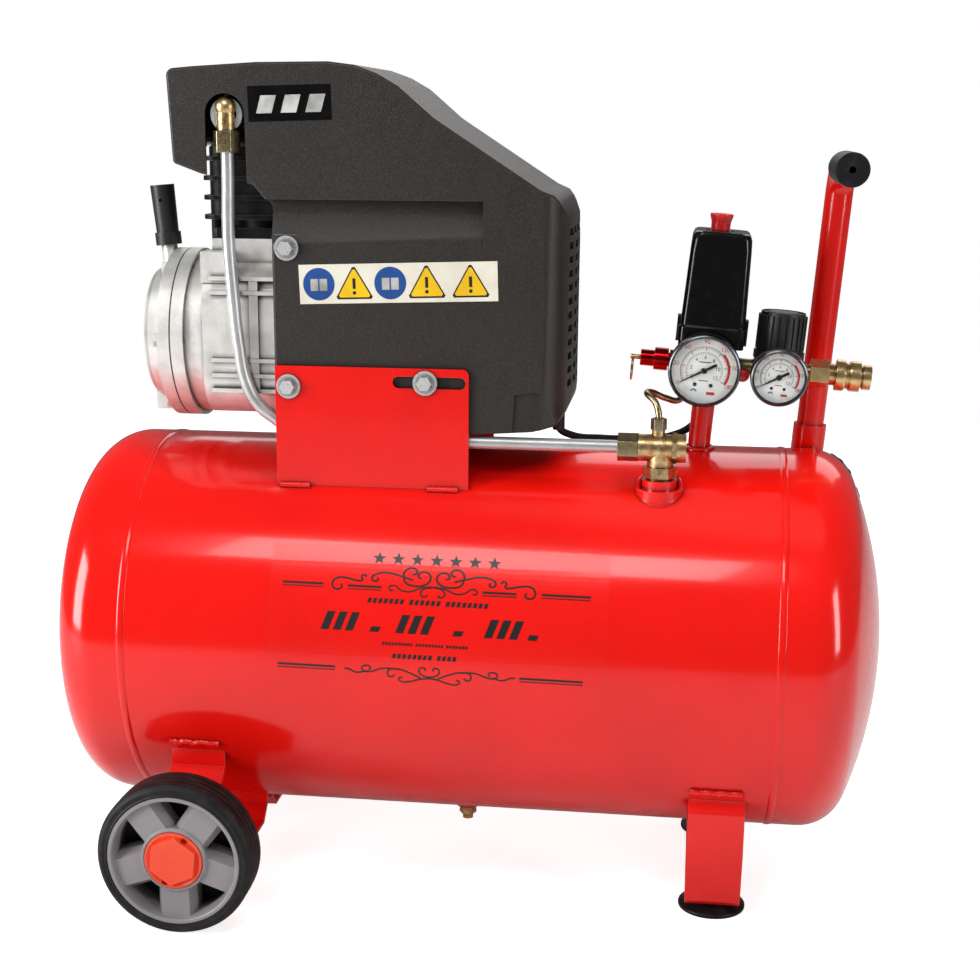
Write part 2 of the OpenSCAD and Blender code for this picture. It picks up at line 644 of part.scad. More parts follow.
module cooling_fan() color("#3a3a3c") at_pump(0) difference() {
    union() {
        along_x(fan_x) cylinder(d = 34, h = 24);
        for (a = [0 : 45 : 315]) along_x(fan_x + 12) rotate(a) translate([0, 12, 0]) rotate([0, 40, 0])
            translate([-1, 0, -11]) cube([2, fan_r - 14, 22]);
    }
    along_x(fan_x - 8) cylinder(d = shaft_d - 6, h = 45);
}

// ---------- shroud ----------
// side outline of the moulded cover; cut takes the same amount off its walls all round
module cover_side(cut) {
    l = hood_left + cut;
    r = shroud_right - cut;
    polygon(concat([[l, shroud_step + 27 - (cut > 0 ? 60 : 0)], [l, shroud_top - 7 - cut],
        [l + 4, shroud_top - 3 - cut], [l + 20, shroud_top - 2 - cut], [cyl_x + 60, shroud_top + 2 - cut],
        [cyl_x + 80, shroud_top - cut * 1.1], [cyl_x + 100, shroud_top - 5 - cut * 1.2],
        [cyl_x + 118, shroud_top - 14 - cut * 1.3], [cyl_x + 226, shroud_step + 7 - cut * 1.2],
        [cyl_x + 236, shroud_step + 4 - cut], [r - 9, shroud_step - 1 - cut]],
        [[r - 3, shroud_step - 14], [r, shroud_step - 34], [r, shroud_low + 30], [r - 4, shroud_low + 14],
         [r - 10, shroud_low + 7 + cut], [cyl_x + 222, shroud_low + 3 + cut], [cyl_x + 180,
             shroud_low + cut],
         [shroud_left - (cut > 0 ? 10 : 0), shroud_low + cut],
         [shroud_left - (cut > 0 ? 10 : 0), shroud_step - 5 - (cut > 0 ? 40 : 0)],
         [shroud_left - 17, shroud_step + 4 - (cut > 0 ? 40 : 0)]],
        cut > 0 ? [] : [[cyl_x - 34, shroud_step + 19]]));
}
module cover_plan(cut) {
    h = shroud_half - cut;
    r = shroud_right - cut;
    polygon([[hood_left + cut - 1, -h], [r - 20, -h], [r - 8, -h + 8], [r - 3, -h + 24], [r, -20], [r,
        20],
             [r - 3, h - 24], [r - 8, h - 8], [r - 20, h], [hood_left + cut - 1, h]]);
}
module cover_solid(cut) intersection() {
    slab_y(-shroud_half + cut, shroud_half - cut) cover_side(cut);
    linear_extrude(shroud_top + 40) cover_plan(cut);
}
vent_pitch = 10.6;
module motor_shroud() color("#262524") difference() {
    cover_solid(0);
    cover_solid(shroud_wall);
    // slot for the discharge elbow
    translate([port_x, -shroud_half - 1, 0]) {
        translate([0, 0, port_z - 5]) rotate([-90, 0, 0]) cylinder(r = 15.5, h = 20);
        translate([-15.5, 0, shroud_step - 10]) cube([31, 20, port_z - 5 - shroud_step + 10]);
    }
    // air slots in the end
    for (row = [0 : vent_rows - 1], col = [0 : vent_cols - 1])
        translate([shroud_right - 14, (col - (vent_cols - 1) / 2) * 28 - 9,
            shroud_step - 26 - vent_pitch * row])
            cube([20, 18, 5.6]);
    // notch that lets the discharge tube in behind the plate
    block([shroud_left - 1, -shroud_half - 1, shroud_low - 1], [shroud_left + 37, -shroud_half + 18,
        shroud_low + 16]);
    bolt_space(lug_x, low_lug_z);
    bolt_space(lug_x, top_lug_z);
    bolt_space(shield_bolt_x, shield_bolt_z);
    // hole of the lead's gland
    translate([lead_out_x, lead_out_y, shroud_low - 4]) cylinder(d = 10, h = 14);
}
lead_out_x = cyl_x + 238;
lead_out_y = -10;
gland_x = 11;
function post_point(x, y, z) = [post_x + x * cos(post_lean) + z * sin(post_lean), y,
                                tank_top - 1 - x * sin(post_lean) + z * cos(post_lean)];

// ---------- discharge line ----------
nut_top = port_z - 16;
module discharge_elbow() color("#c39b4c") difference() {
    union() {
        translate([port_x, -pipe_y - 1, port_z]) rotate([-90, 0, 0]) cylinder(d = 17,
            h = pipe_y + 1 - 49 + 4);
        translate([port_x, -pipe_y - 1, port_z]) sphere(d = 17);
        translate([port_x, -pipe_y - 1, nut_top - 4]) cylinder(d = 15, h = 20);
        translate([port_x, -56, port_z]) rotate([-90, 0, 0]) hex(20, 7);
    }
    translate([port_x, -pipe_y - 1, nut_top - 10]) cylinder(d = 8, h = 26);
    translate([port_x, -50, port_z]) rotate([-90, 0, 0]) cylinder(d = 12, h = 20);
    translate([port_x, -49, port_z]) rotate([-90, 0, 0]) difference() {
        cylinder(d = 30, h = 20);
        translate([0, 0, -1]) cylinder(d = 9.9, h = 30);
    }
}
pipe_low = tank_top + 13.2;             // middle of the discharge tube's level run
nut_h = 17;
PIPE = [[port_x, -pipe_y - 1, nut_top - 5], [port_x - 1, -pipe_y - 1, crank_z + 74],
        [port_x + 4, -pipe_y - 2, crank_z + 5], [port_x + 11, -pipe_y - 2, crank_z - 32],
        [port_x + 23, -pipe_y - 1, crank_z - 52], [port_x + 36, -pipe_y, crank_z - 56],
        [port_x + 46, -pipe_y, pipe_low + 3], [port_x + 66, -pipe_y, pipe_low],
        [0, -pipe_y, pipe_low], [check_x - 30, -pipe_y, pipe_low]];
module discharge_tube() color("#c7cacd") swept(rounded_route(PIPE, 2), pipe_d, 12);
module tube_nuts() color("#b39a5c") {
    difference() {
        translate([port_x, -pipe_y - 1, nut_top - nut_h]) hex(19, nut_h - 1);
        translate([port_x, -pipe_y - 1, nut_top - nut_h - 1]) cylinder(d = pipe_d + 0.4, h = nut_h);
        translate([port_x, -pipe_y - 1, nut_top - 6]) cylinder(d = 15.2, h = nut_h);
    }
    translate([check_x - 33, -pipe_y, pipe_low]) rotate([0, 90, 0]) difference() {
        hex(19.5, nut_h - 1);
        translate([0, 0, -1]) cylinder(d = pipe_d + 0.4, h = nut_h);
        translate([0, 0, 8]) cylinder(d = 15.2, h = nut_h);
    }
    translate([check_x - 2, -pipe_y, pipe_low + 10]) difference() {
        translate([0, 0, 4]) hex(11, 9);
        translate([0, 0, 3]) cylinder(d = unloader_d + 0.4, h = 12, $fn = 32);
    }
}
module check_valve() color("#c99f45") translate([check_x, -pipe_y, pipe_low]) difference() {
    union() {
        translate([-24, 0, 0]) rotate([0, 90, 0]) cylinder(d = 15, h = 14);
        translate([-17, 0, 0]) rotate([0, 90, 0]) cylinder(d = 21, h = 26);
        translate([9, 0, 0]) rotate([0, 90, 0]) hex(21, 3.5);
        translate([12.5, 0, 0]) rotate([0, 90, 0]) cylinder(d = 22, h = 7);
        translate([0, 0, boss_z - pipe_low]) cylinder(d = 20, h = pipe_low - boss_z);
        translate([0, 0, boss_z - pipe_low + 2]) hex(23, 8);
        translate([0, 0, boss_z - pipe_low - 12]) cylinder(r = boss_bore - 0.01, h = 14);
        translate([-2, 0, 8]) cylinder(d = 10, h = 6);
    }
    translate([-25, 0, 0]) rotate([0, 90, 0]) cylinder(d = 8, h = 40);
    translate([0, 0, boss_z - pipe_low - 13]) cylinder(d = 8, h = pipe_low - boss_z + 12);
}
UNLOADER = [[check_x - 2, -pipe_y, pipe_low + 14], [check_x - 2, -pipe_y, pipe_low + 28],
            [check_x - 6, -pipe_y + 6, pipe_low + 38], [check_x - 14, -pipe_y + 18, pipe_low + 40],
            [check_x - 10, -46, pipe_low + 39], [check_x + 4, -34, pipe_low + 32],
            [check_x + 15, -24, pipe_low + 28], post_point(-10, -19, switch_z - 30),
            post_point(-10, -18.5, switch_z - 10), post_point(-10, -18.5, switch_z + 3)];
module unloader_tube() color("#a8a6a2") swept(rounded_route(UNLOADER, 2), unloader_d, 8);
LEAD = [[lead_out_x, lead_out_y, shroud_low + 2], [lead_out_x, lead_out_y, shroud_low - 10],
        [lead_out_x + 24, -3, tank_top + 7], [lead_out_x + 60, 8, tank_top + 5],
        [lead_out_x + 90, 14, tank_top + 6], [lead_out_x + 113, 20, tank_top + 16],
        post_point(gland_x, 27, switch_z - 50), post_point(gland_x, 28, switch_z - 24),
        post_point(gland_x, 28, switch_z - 8)];
module motor_cable() color("#161616") swept(rounded_route(LEAD, 2), lead_d, 8);
// sleeves that hold the lead at the shroud and under the switch
module cable_glands() color("#1a1a1a") {
    translate([lead_out_x, lead_out_y, shroud_low - 6]) difference() {
        cylinder(d = 9.8, h = 14);
        translate([0, 0, -1]) cylinder(d = lead_d + 0.4, h = 9);
    }
    on_post() translate([gland_x, 28, switch_z - 13]) difference() {
        cylinder(d = 11, h = 12);
        translate([0, 0, -1]) cylinder(d = lead_d + 0.4, h = 6);
    }
}

// ---------- gauges, switch, regulator and outlet, in the leaning frame of the post ----------
line_r = 6.5;
module manifold() color("#b9a36a") on_post() difference() {
    union() {
        translate([-13, -13, line_z - 14]) cube([26, 26, 27.5]);
        translate([-22, 0, line_z]) rotate([0, 90, 0]) cylinder(r = line_r, h = 58);
        // seat of the tank gauge
        translate([gauge_x, gauge_face + gauge_depth, line_z]) rotate([-90, 0, 0]) cylinder(r = 5,
            h = 20);
        // blanking plug between the gauges
        translate([28, -11, line_z - 6]) rotate([-90, 0, 0]) cylinder(d = 9, h = 8);
    }
    translate([-23, 0, line_z]) rotate([0, 90, 0]) cylinder(r = 3.5, h = 60);
    translate([0, 0, line_z - 15]) cylinder(r = 5, h = 15);
}
module switch_base() color("#1b1b1c") on_post() difference() {
    union() {
        translate([0, 3, switch_z]) linear_extrude(12) rounded(51, 62, 5);
        translate([0, 0, line_z + 13.5]) cylinder(d = 22, h = 4);
        translate([-20, 22, switch_z - 1]) cube([38, 12, 6]);
    }
    translate([-16, -18, switch_z + 4]) cube([32, 44, 20]);
    // seats of the unloader tube and of the lead's gland
    translate([-10, -18.5, switch_z - 4]) cylinder(d = unloader_d + 0.4, h = 7, $fn = 32);
}
module cover_layer(w, d, y, z, t) translate([0, y, z]) linear_extrude(t) rounded(w, d, 6);
switch_top = 175;
module switch_cover() color("#141414") on_post() difference() {
    union() {
        hull() {
            cover_layer(50, 61, 3, switch_z + 12, 1);
            cover_layer(47, 60, 3, switch_top - 12, 1);
            cover_layer(44, 55, 3, switch_top - 2, 2);
        }
        for (s = [-1, 1]) translate([s * 25 - 2.5, -12, switch_z + 8]) cube([5, 12, 15]);
    }
    translate([0, 3, switch_z + 11]) linear_extrude(switch_top - switch_z - 16) rounded(42, 50, 4);
    translate([0, 3, switch_z - 1]) linear_extrude(13) rounded(51.2, 62.2, 5);
    translate([-2, 2, switch_top - 8]) cylinder(r = 6 + slide_gap, h = 12);
}
module switch_knob() color("#d8201c") on_post() translate([-2, 2, switch_top + 0.5]) {
    rotate_extrude() polygon([[0, -12], [5.9, -12], [5.9, 0], [7.4, 0], [7.6, 6], [9, 10.6], [9, 12.4],
        [7, 12.4],
                              [6.4, 11], [0, 11]]);
    // shank that carries the contact lever
    translate([0, 0, -30]) cylinder(r = 3, h = 20);
}
module at_gauge(x) on_post() translate([x, gauge_face, line_z]) rotate([-90, 0, 0]) children();
gauges = [[gauge_x, gauge_d], [line_gauge_x, line_gauge_d]];
// case with a rolled rim, a dial disc inside and the socket behind
module gauge_cases() color("#26282a") for (g = gauges) at_gauge(g[0]) difference() {
    cylinder(d = g[1], h = gauge_depth);
    translate([0, 0, -1]) cylinder(d = g[1] - 4, h = 7);
}
module gauge_lenses() color("#e8f0f2", 0.3) for (g = gauges) at_gauge(g[0])
    translate([0, 0, 1]) cylinder(d = g[1] - 4.2, h = 1.2);
module needle(d) rotate([0, 0, -needle_zero]) {
    translate([0, 0, 3.6]) cylinder(d = 4.5, h = 1.4, $fn = 32);
    translate([0, 0, 4.2]) linear_extrude(0.6) polygon([[-d * 0.19, -1.1], [-d * 0.19, 1.1], [0, 0.9],
        [d * 0.37, 0.25],
                                                       [d * 0.37, -0.25], [0, -0.9]]);
}
module tank_gauge_needle() color("#111111") at_gauge(gauge_x) needle(gauge_d);
module line_gauge_needle() color("#111111") at_gauge(line_gauge_x) needle(line_gauge_d);
reg_half = 17;
bonnet_z = line_z + 9;
module regulator_body() color("#2a2a2b") on_post() difference() {
    union() {
        translate([line_gauge_x - 18.5, -reg_half, line_z - 14]) cube([37, 2 * reg_half, 21]);
        translate([line_gauge_x, 0, line_z + 6]) cylinder(d = 35, h = 4);
        translate([line_gauge_x, 0, bonnet_z]) cylinder(d = knob_d + 2, h = 6);
        translate([line_gauge_x, 0, bonnet_z + 5]) cylinder(d = knob_d - 10, h = 13);
        translate([line_gauge_x, gauge_face + gauge_depth, line_z]) rotate([-90, 0, 0]) cylinder(r = 5,
            h = 20);
    }
    translate([36 - 1, 0, line_z]) rotate([0, 90, 0]) cylinder(r = 3.5, h = 40);
    translate([line_gauge_x, 0, line_z + 2]) cylinder(r = 8 + run_gap, h = 40);
}
// screw that loads the regulator's spring; the knob slides on its flats
module adjusting_screw() color("#b9bcc0") on_post() translate([line_gauge_x, 0, line_z + 3]) {
    cylinder(r = 8, h = 22);
    translate([0, 0, 21]) cylinder(r = 5, h = 13);
}
ribs = 24;
module regulator_knob() color("#2c2c2d") on_post() translate([line_gauge_x, 0,
    bonnet_z + 6 + slide_gap]) difference() {
    union() {
        cylinder(d1 = knob_d - 1.8, d2 = knob_d - 3.2, h = 30.5);
        for (i = [0 : ribs - 1]) rotate(360 * i / ribs) translate([knob_d / 2 - 2.6, -1.1, 1]) cube([2.8,
            2.2, 27]);
    }
    translate([0, 0, -1]) cylinder(d = knob_d - 9, h = 17);
    translate([0, 0, -1]) cylinder(r = 5 + run_gap, h = 27);
    translate([0, 0, 29.3]) difference() {
        cylinder(d = knob_d - 5, h = 2);
        translate([0, 0, -1]) cylinder(d = knob_d - 14, h = 4);
    }
}
module safety_valve() color("#cc2420") on_line(0) rotate([0, 90, 0]) difference() {
    union() {
        translate([0, 0, -33]) cylinder(d = 11, h = 18);
        translate([0, 0, -31]) hex(14, 4);
        translate([0, 0, -43]) cylinder(d = 18, h = 11);
        translate([0, 0, -54]) cylinder(d = 13, h = 12);
    }
    translate([0, 0, -55]) cylinder(r = 2 + slide_gap, h = 30);
    translate([0, 0, -24]) cylinder(r = line_r, h = 20);
}
// pull pin of the safety valve with the split ring that hangs from it
module safety_valve_ring() color("#b08d3e") on_line(0) {
    translate([-62, 0, 0]) rotate([0, 90, 0]) cylinder(r = 2, h = 30, $fn = 32);
    translate([-60, 0, -9]) rotate([90, 0, 0]) rotate([0, 90, 0]) rotate_extrude() translate([9.5,
        0]) circle(d = 1.6, $fn = 16);
}
module coupler_body() color("#b8903c") on_line(0) rotate([0, 90, 0]) difference() {
    union() {
        translate([0, 0, line_gauge_x + 18.5]) cylinder(d = 13, h = 10);
        translate([0, 0, coupler_x]) hex(19.5, 15);
        translate([0, 0, coupler_x + 14]) cylinder(d = 17, h = 28);
        translate([0, 0, coupler_x + 41.5]) cylinder(d = 19.5, h = 6.5);
    }
    translate([0, 0, coupler_x + 22]) cylinder(d = coupler_bore, h = 40);
    translate([0, 0, line_gauge_x + 17]) cylinder(d = 7, h = 50);
}
module coupler_sleeve() color("#c79d45") on_line(0) rotate([0, 90, 0]) translate([0, 0,
    coupler_x + 20.5]) difference() {
    union() {
        cylinder(d = 23, h = 19);
        cylinder(d = 24.5, h = 6.5);
        translate([0, 0, 11.5]) cylinder(d = 24, h = 7.5);
    }
    translate([0, 0, 7.5]) difference() {
        cylinder(d = 30, h = 3);
        translate([0, 0, -1]) cylinder(d = 20.5, h = 5);
    }
    translate([0, 0, -1]) cylinder(r = 8.5 + run_gap, h = 30);
}

tank_shell();
tank_heads();
tank_bosses();
manifold_post();
drain_screw();
data_plate();
wheel_brackets();
foot_brackets();
rubber_feet();
axles();
wheel_rim_front();
wheel_rim_back();
tyre_front();
tyre_back();
wheel_cap_front();
wheel_cap_back();
handle_tube();
handle_grip();
pump_brackets();
mounting_bolts();
crankcase();
crankcase_gasket();
crankcase_cover();
pump_screws();
oil_sight_glass();
breather_pipe();
cylinder_node();  // cylinder
valve_plate();
cylinder_head();
piston();
connecting_rod();
crankshaft();
shaft_bearings();
motor_stator();
motor_rotor();
motor_end_shield();
cooling_fan();
motor_shroud();
discharge_elbow();
discharge_tube();
tube_nuts();
check_valve();
unloader_tube();
manifold();
switch_base();
switch_cover();
switch_knob();
gauge_cases();
gauge_lenses();
tank_gauge_needle();
line_gauge_needle();
regulator_body();
adjusting_screw();
regulator_knob();
safety_valve();
safety_valve_ring();
coupler_body();
coupler_sleeve();
motor_cable();
cable_glands();
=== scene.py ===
# %% [markdown]
# # A portable air compressor, dressed for its portrait
# The frame of this object is already drawn: every tube, bolt and casting comes packed, in metres, with
# its joints. What is left is what a maker would call the finish: rolled steel with its weld seams,
# moulded plastic with soft edges, cast aluminium, dials, rubber and paint. Each step below says what the
# real thing is, and then makes it.

# %% Load the frame
import json
import math

import bmesh
import bpy
from mathutils import Matrix, Vector


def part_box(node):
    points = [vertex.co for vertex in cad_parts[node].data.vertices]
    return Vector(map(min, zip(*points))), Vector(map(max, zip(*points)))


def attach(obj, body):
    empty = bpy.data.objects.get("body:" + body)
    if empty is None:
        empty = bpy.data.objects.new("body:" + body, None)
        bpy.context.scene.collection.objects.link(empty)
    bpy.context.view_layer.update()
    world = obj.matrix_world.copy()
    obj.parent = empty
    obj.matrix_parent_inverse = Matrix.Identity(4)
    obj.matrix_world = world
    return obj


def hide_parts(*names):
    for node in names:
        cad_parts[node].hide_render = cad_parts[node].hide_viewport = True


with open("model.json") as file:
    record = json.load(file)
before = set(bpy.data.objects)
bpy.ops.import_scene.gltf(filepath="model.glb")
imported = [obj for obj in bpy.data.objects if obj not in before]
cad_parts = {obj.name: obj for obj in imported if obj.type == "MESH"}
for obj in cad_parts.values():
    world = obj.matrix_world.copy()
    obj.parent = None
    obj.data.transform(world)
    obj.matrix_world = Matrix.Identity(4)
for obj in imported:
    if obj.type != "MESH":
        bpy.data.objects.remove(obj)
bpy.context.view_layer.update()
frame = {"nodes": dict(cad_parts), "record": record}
nodes = frame["nodes"]
MM = 0.001


def box_mm(node):
    """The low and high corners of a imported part, in millimetres."""
    return [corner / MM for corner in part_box(node)]


def shift(x, y, z):
    """A move by millimetres, as a matrix."""
    return Matrix.Translation(Vector((x, y, z)) * MM)


# %% [markdown]
# ## Camera
# The portrait is taken from in front and a little above, with a long lens, so that upright lines stay
# nearly parallel. The shift moves the picture on the sensor, as a view camera does, without turning it.

# %% Camera
camera_data = bpy.data.cameras.new("portrait_camera")
camera_data.sensor_width = 36
camera_data.lens = 61.2
camera_data.shift_x = 0.0278
camera_data.shift_y = 0.0724
camera = bpy.data.objects.new("portrait_camera", camera_data)
camera.location = (0.183, -1.344, 0.6186)
camera.rotation_euler = (math.radians(90 - 14.74), math.radians(-0.23), math.radians(8.05))
bpy.context.scene.collection.objects.link(camera)
bpy.context.scene.camera = camera

# %% [markdown]
# ## Studio
# A pale floor that melts into a white background, a dim room, and large soft panels. Glossy paint shows
# whatever stands around it, so the panels are as much a part of its look as its colour: long ones at the
# sides draw the long highlights on the round ends of the tank, and the dim room keeps the red deep. The
# background looks white, but it lights the object with much less, as a white wall far behind would.

# %% Studio
ROOM_LIGHT, FLOOR_GLOW = 0.14, 0.8


def bright_to_camera(tree, dim, bright, socket):
    """Feeds a strength that is bright where the camera sees it, and dim in the light that it gives."""
    seen = tree.nodes.new("ShaderNodeLightPath").outputs["Is Camera Ray"]
    strength = tree.nodes.new("ShaderNodeMapRange")
    strength.inputs["To Min"].default_value = dim
    strength.inputs["To Max"].default_value = bright
    tree.links.new(seen, strength.inputs["Value"])
    tree.links.new(strength.outputs["Result"], socket)


bpy.ops.mesh.primitive_plane_add(size=4.6)
floor = bpy.context.active_object
floor.name = "floor"
floor_paper = bpy.data.materials.new("white background paper")
floor_paper.use_nodes = True
paper = floor_paper.node_tree.nodes["Principled BSDF"]
paper.inputs["Base Color"].default_value = (0.7, 0.7, 0.7, 1)
paper.inputs["Roughness"].default_value = 0.7
paper.inputs["Emission Color"].default_value = (1, 1, 1, 1)
bright_to_camera(floor_paper.node_tree, 0.0, FLOOR_GLOW, paper.inputs["Emission Strength"])
floor.data.materials.append(floor_paper)

world = bpy.data.worlds.new("studio")
bpy.context.scene.world = world
world.use_nodes = True
room = world.node_tree.nodes["Background"]
room.inputs["Color"].default_value = (1, 1, 1, 1)
bright_to_camera(world.node_tree, ROOM_LIGHT, 1.0, room.inputs["Strength"])
bpy.context.scene.view_settings.view_transform = "Standard"


def panel(name, place, aim, width, height, watts):
    """A soft rectangular light at place that faces aim; returns it."""
    data = bpy.data.lights.new(name, "AREA")
    data.shape = "RECTANGLE"
    data.size = width
    data.size_y = height
    data.energy = watts
    light = bpy.data.objects.new(name, data)
    light.location = place
    light.rotation_euler = (Vector(aim) - Vector(place)).to_track_quat("-Z", "Y").to_euler()
    bpy.context.scene.collection.objects.link(light)
    return light


panel("left_panel", (-1.9, -1.15, 0.8), (0, 0, 0.3), 0.8, 1.3, 40)
panel("right_panel", (2.0, -1.2, 0.9), (0, 0, 0.3), 0.4, 1.2, 15)
overhead = panel("top_panel", (0.1, 0.1, 2.3), (0, 0, 0.3), 2.2, 0.8, 46)
overhead.visible_glossy = False          # it lights the top without laying a band along the tank
panel("front_panel", (-0.3, -1.6, 2.4), (0, 0, 0.35), 1.2, 0.6, 16)
panel("back_panel", (0.2, 1.9, 1.6), (0, 0, 0.4), 2.4, 1.0, 12)

# %% [markdown]
# ## Helpers for modelling
# Pieces are modelled as by hand: a primitive, then edit mode. Before anything is selected, everything is
# deselected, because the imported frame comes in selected. Four helpers cover most of the work. `outline`
# draws a flat shape and pulls it out to a thickness, `lathe` turns a profile round an axis, `pipe` runs
# a tube along a route, and `soften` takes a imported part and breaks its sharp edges, as casting, rolling
# and paint do.


# %% Selection and edit helpers
def only(piece):
    """Selects and activates one object."""
    bpy.ops.object.select_all(action="DESELECT")
    piece.select_set(True)
    bpy.context.view_layer.objects.active = piece


def edit(piece, mode="VERT", pick="DESELECT"):
    """Opens a piece in edit mode with nothing, or all, selected, and returns its bmesh."""
    only(piece)
    bpy.ops.object.mode_set(mode="EDIT")
    bpy.ops.mesh.select_mode(type=mode)
    bpy.ops.mesh.select_all(action=pick)
    return bmesh.from_edit_mesh(piece.data)


def done(piece):
    """Leaves edit mode and returns the piece."""
    bmesh.update_edit_mesh(piece.data)
    bpy.ops.object.mode_set(mode="OBJECT")
    return piece


def clean(piece, merge=0.01):
    """Merges doubles and turns all faces outwards; merge is in millimetres."""
    edit(piece, pick="SELECT")
    bpy.ops.mesh.remove_doubles(threshold=merge * MM)
    bpy.ops.mesh.dissolve_degenerate(threshold=0.001 * MM)
    bpy.ops.mesh.normals_make_consistent(inside=False)
    return done(piece)


def apply_modifier(piece, kind, **settings):
    """Adds one modifier, applies it, and leaves the plain mesh."""
    only(piece)
    modifier = piece.modifiers.new(kind.lower(), kind)
    for key, value in settings.items():
        setattr(modifier, key, value)
    bpy.ops.object.modifier_apply(modifier=modifier.name)
    return piece


def rounded_edges(piece, width, segments=2, angle=30):
    """Bevels the edges that turn by more than angle, and lets the large faces decide the shading."""
    apply_modifier(piece, "BEVEL", width=width * MM, segments=segments, limit_method="ANGLE",
                   angle_limit=math.radians(angle), use_clamp_overlap=True)
    smooth(piece)
    return apply_modifier(piece, "WEIGHTED_NORMAL", weight=80, keep_sharp=True)


def smooth(piece, angle=35):
    """Smooth shading, with edges sharper than angle kept."""
    only(piece)
    bpy.ops.object.shade_smooth_by_angle(angle=math.radians(angle))
    return piece


def settle(piece):
    """Moves the object's place and turn into its mesh."""
    only(piece)
    bpy.ops.object.transform_apply(location=True, rotation=True, scale=True)
    return piece


def join(pieces, name):
    """Joins several objects into one."""
    bpy.ops.object.select_all(action="DESELECT")
    for piece in pieces:
        piece.select_set(True)
    bpy.context.view_layer.objects.active = pieces[0]
    if len(pieces) > 1:
        bpy.ops.object.join()
    pieces[0].name = name
    return pieces[0]


def combine(piece, others, operation):
    """Works other closed shapes into a piece, and removes them."""
    for other in others:
        apply_modifier(piece, "BOOLEAN", object=other, operation=operation, solver="EXACT")
        bpy.data.objects.remove(other)
    return piece


def cut(piece, *cutters):
    return combine(piece, cutters, "DIFFERENCE")


def fuse(piece, *others):
    return combine(piece, others, "UNION")


# %% Outline, lathe, pipe and box
def points_ring(name, points):
    """A circle primitive whose corners are put at the given points, in millimetres."""
    bpy.ops.mesh.primitive_circle_add(vertices=len(points), fill_type="NOTHING")
    piece = bpy.context.active_object
    piece.name = name
    for vertex, point in zip(piece.data.vertices, points):
        vertex.co = Vector(point) * MM
    return piece


def outline(name, points, plane, low, high):
    """A flat shape in a plane ("xz", "yz" or "xy"), pulled out from low to high along the third axis."""
    places = {"xz": lambda a, b, c: (a, c, b), "yz": lambda a, b, c: (c, a, b),
              "xy": lambda a, b, c: (a, b, c)}[plane]
    piece = points_ring(name, [places(a, b, low) for a, b in points])
    edit(piece, pick="SELECT")
    bpy.ops.mesh.edge_face_add()
    bpy.ops.mesh.extrude_region_move(
        TRANSFORM_OT_translate={"value": Vector(places(0, 0, high - low)) * MM})
    bpy.ops.mesh.select_all(action="SELECT")
    bpy.ops.mesh.normals_make_consistent(inside=False)
    return done(piece)


def lathe(name, profile, centre, axis="x", steps=64):
    """A closed profile of (along, radius) in millimetres, spun round an axis through centre."""
    lay = {"x": lambda a, r: (a, 0, r), "y": lambda a, r: (0, a, r), "z": lambda a, r: (r, 0, a)}[axis]
    way = {"x": (1, 0, 0), "y": (0, 1, 0), "z": (0, 0, 1)}[axis]
    piece = points_ring(name, [lay(a, r) for a, r in profile])
    edit(piece, pick="SELECT")
    bpy.ops.mesh.spin(steps=steps, angle=2 * math.pi, center=(0, 0, 0), axis=way, use_auto_merge=True)
    done(piece)
    clean(piece)
    piece.data.transform(shift(*centre))
    return smooth(piece)


def box(name, low, high):
    """A cube primitive resized to run from low to high, in millimetres."""
    bpy.ops.mesh.primitive_cube_add(size=1)
    piece = bpy.context.active_object
    piece.name = name
    piece.scale = [(b - a) * MM for a, b in zip(low, high)]
    piece.location = (Vector(low) + Vector(high)) / 2 * MM
    return settle(piece)


def rod(name, start, end, radius, sides):
    """A cylinder primitive between two points, in millimetres."""
    start, end = Vector(start) * MM, Vector(end) * MM
    bpy.ops.mesh.primitive_cylinder_add(vertices=sides, radius=radius * MM, depth=(end - start).length,
                                        location=(start + end) / 2)
    piece = bpy.context.active_object
    piece.name = name
    piece.rotation_euler = (end - start).to_track_quat("Z", "Y").to_euler()
    return settle(piece)


def pipe(name, points, radius, closed=False, resolution=8, around=5):
    """A round tube along a smooth route, in millimetres."""
    data = bpy.data.curves.new(name, "CURVE")
    data.dimensions = "3D"
    data.bevel_depth = radius * MM
    data.bevel_resolution = around
    data.resolution_u = resolution
    data.use_fill_caps = not closed
    spline = data.splines.new("BEZIER")
    spline.bezier_points.add(len(points) - 1)
    for spot, point in zip(spline.bezier_points, points):
        spot.co = Vector(point) * MM
        spot.handle_left_type = spot.handle_right_type = "AUTO"
    spline.use_cyclic_u = closed
    piece = bpy.data.objects.new(name, data)
    bpy.context.scene.collection.objects.link(piece)
    only(piece)
    bpy.ops.object.convert(target="MESH")
    piece = bpy.context.active_object
    clean(piece, 0.001)
    return smooth(piece, 50)


def soften(node, width):
    """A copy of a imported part, with its triangles merged to clean faces and its edges broken."""
    piece = bpy.data.objects.new(node + "_skin", nodes[node].data.copy())
    piece.data.materials.clear()
    bpy.context.scene.collection.objects.link(piece)
    edit(piece, pick="SELECT")
    bpy.ops.mesh.customdata_custom_splitnormals_clear()
    bpy.ops.mesh.remove_doubles(threshold=0.004 * MM)
    bpy.ops.mesh.dissolve_limited(angle_limit=math.radians(1.5))
    done(piece)
    return rounded_edges(piece, width, 2, 28)


# %% [markdown]
# ## Helpers for finishes
# Colours are written as the hex values that a paint chart gives, and one function turns them to the
# linear light that the renderer works in. `add` makes one node, sets its values and links its inputs.


# %% Material helpers
def linear(hex_colour):
    """An sRGB hex colour as linear RGBA."""
    channels = [int(hex_colour[i:i + 2], 16) / 255 for i in (1, 3, 5)]
    return [c / 12.92 if c <= 0.04045 else ((c + 0.055) / 1.055) ** 2.4 for c in channels] + [1]


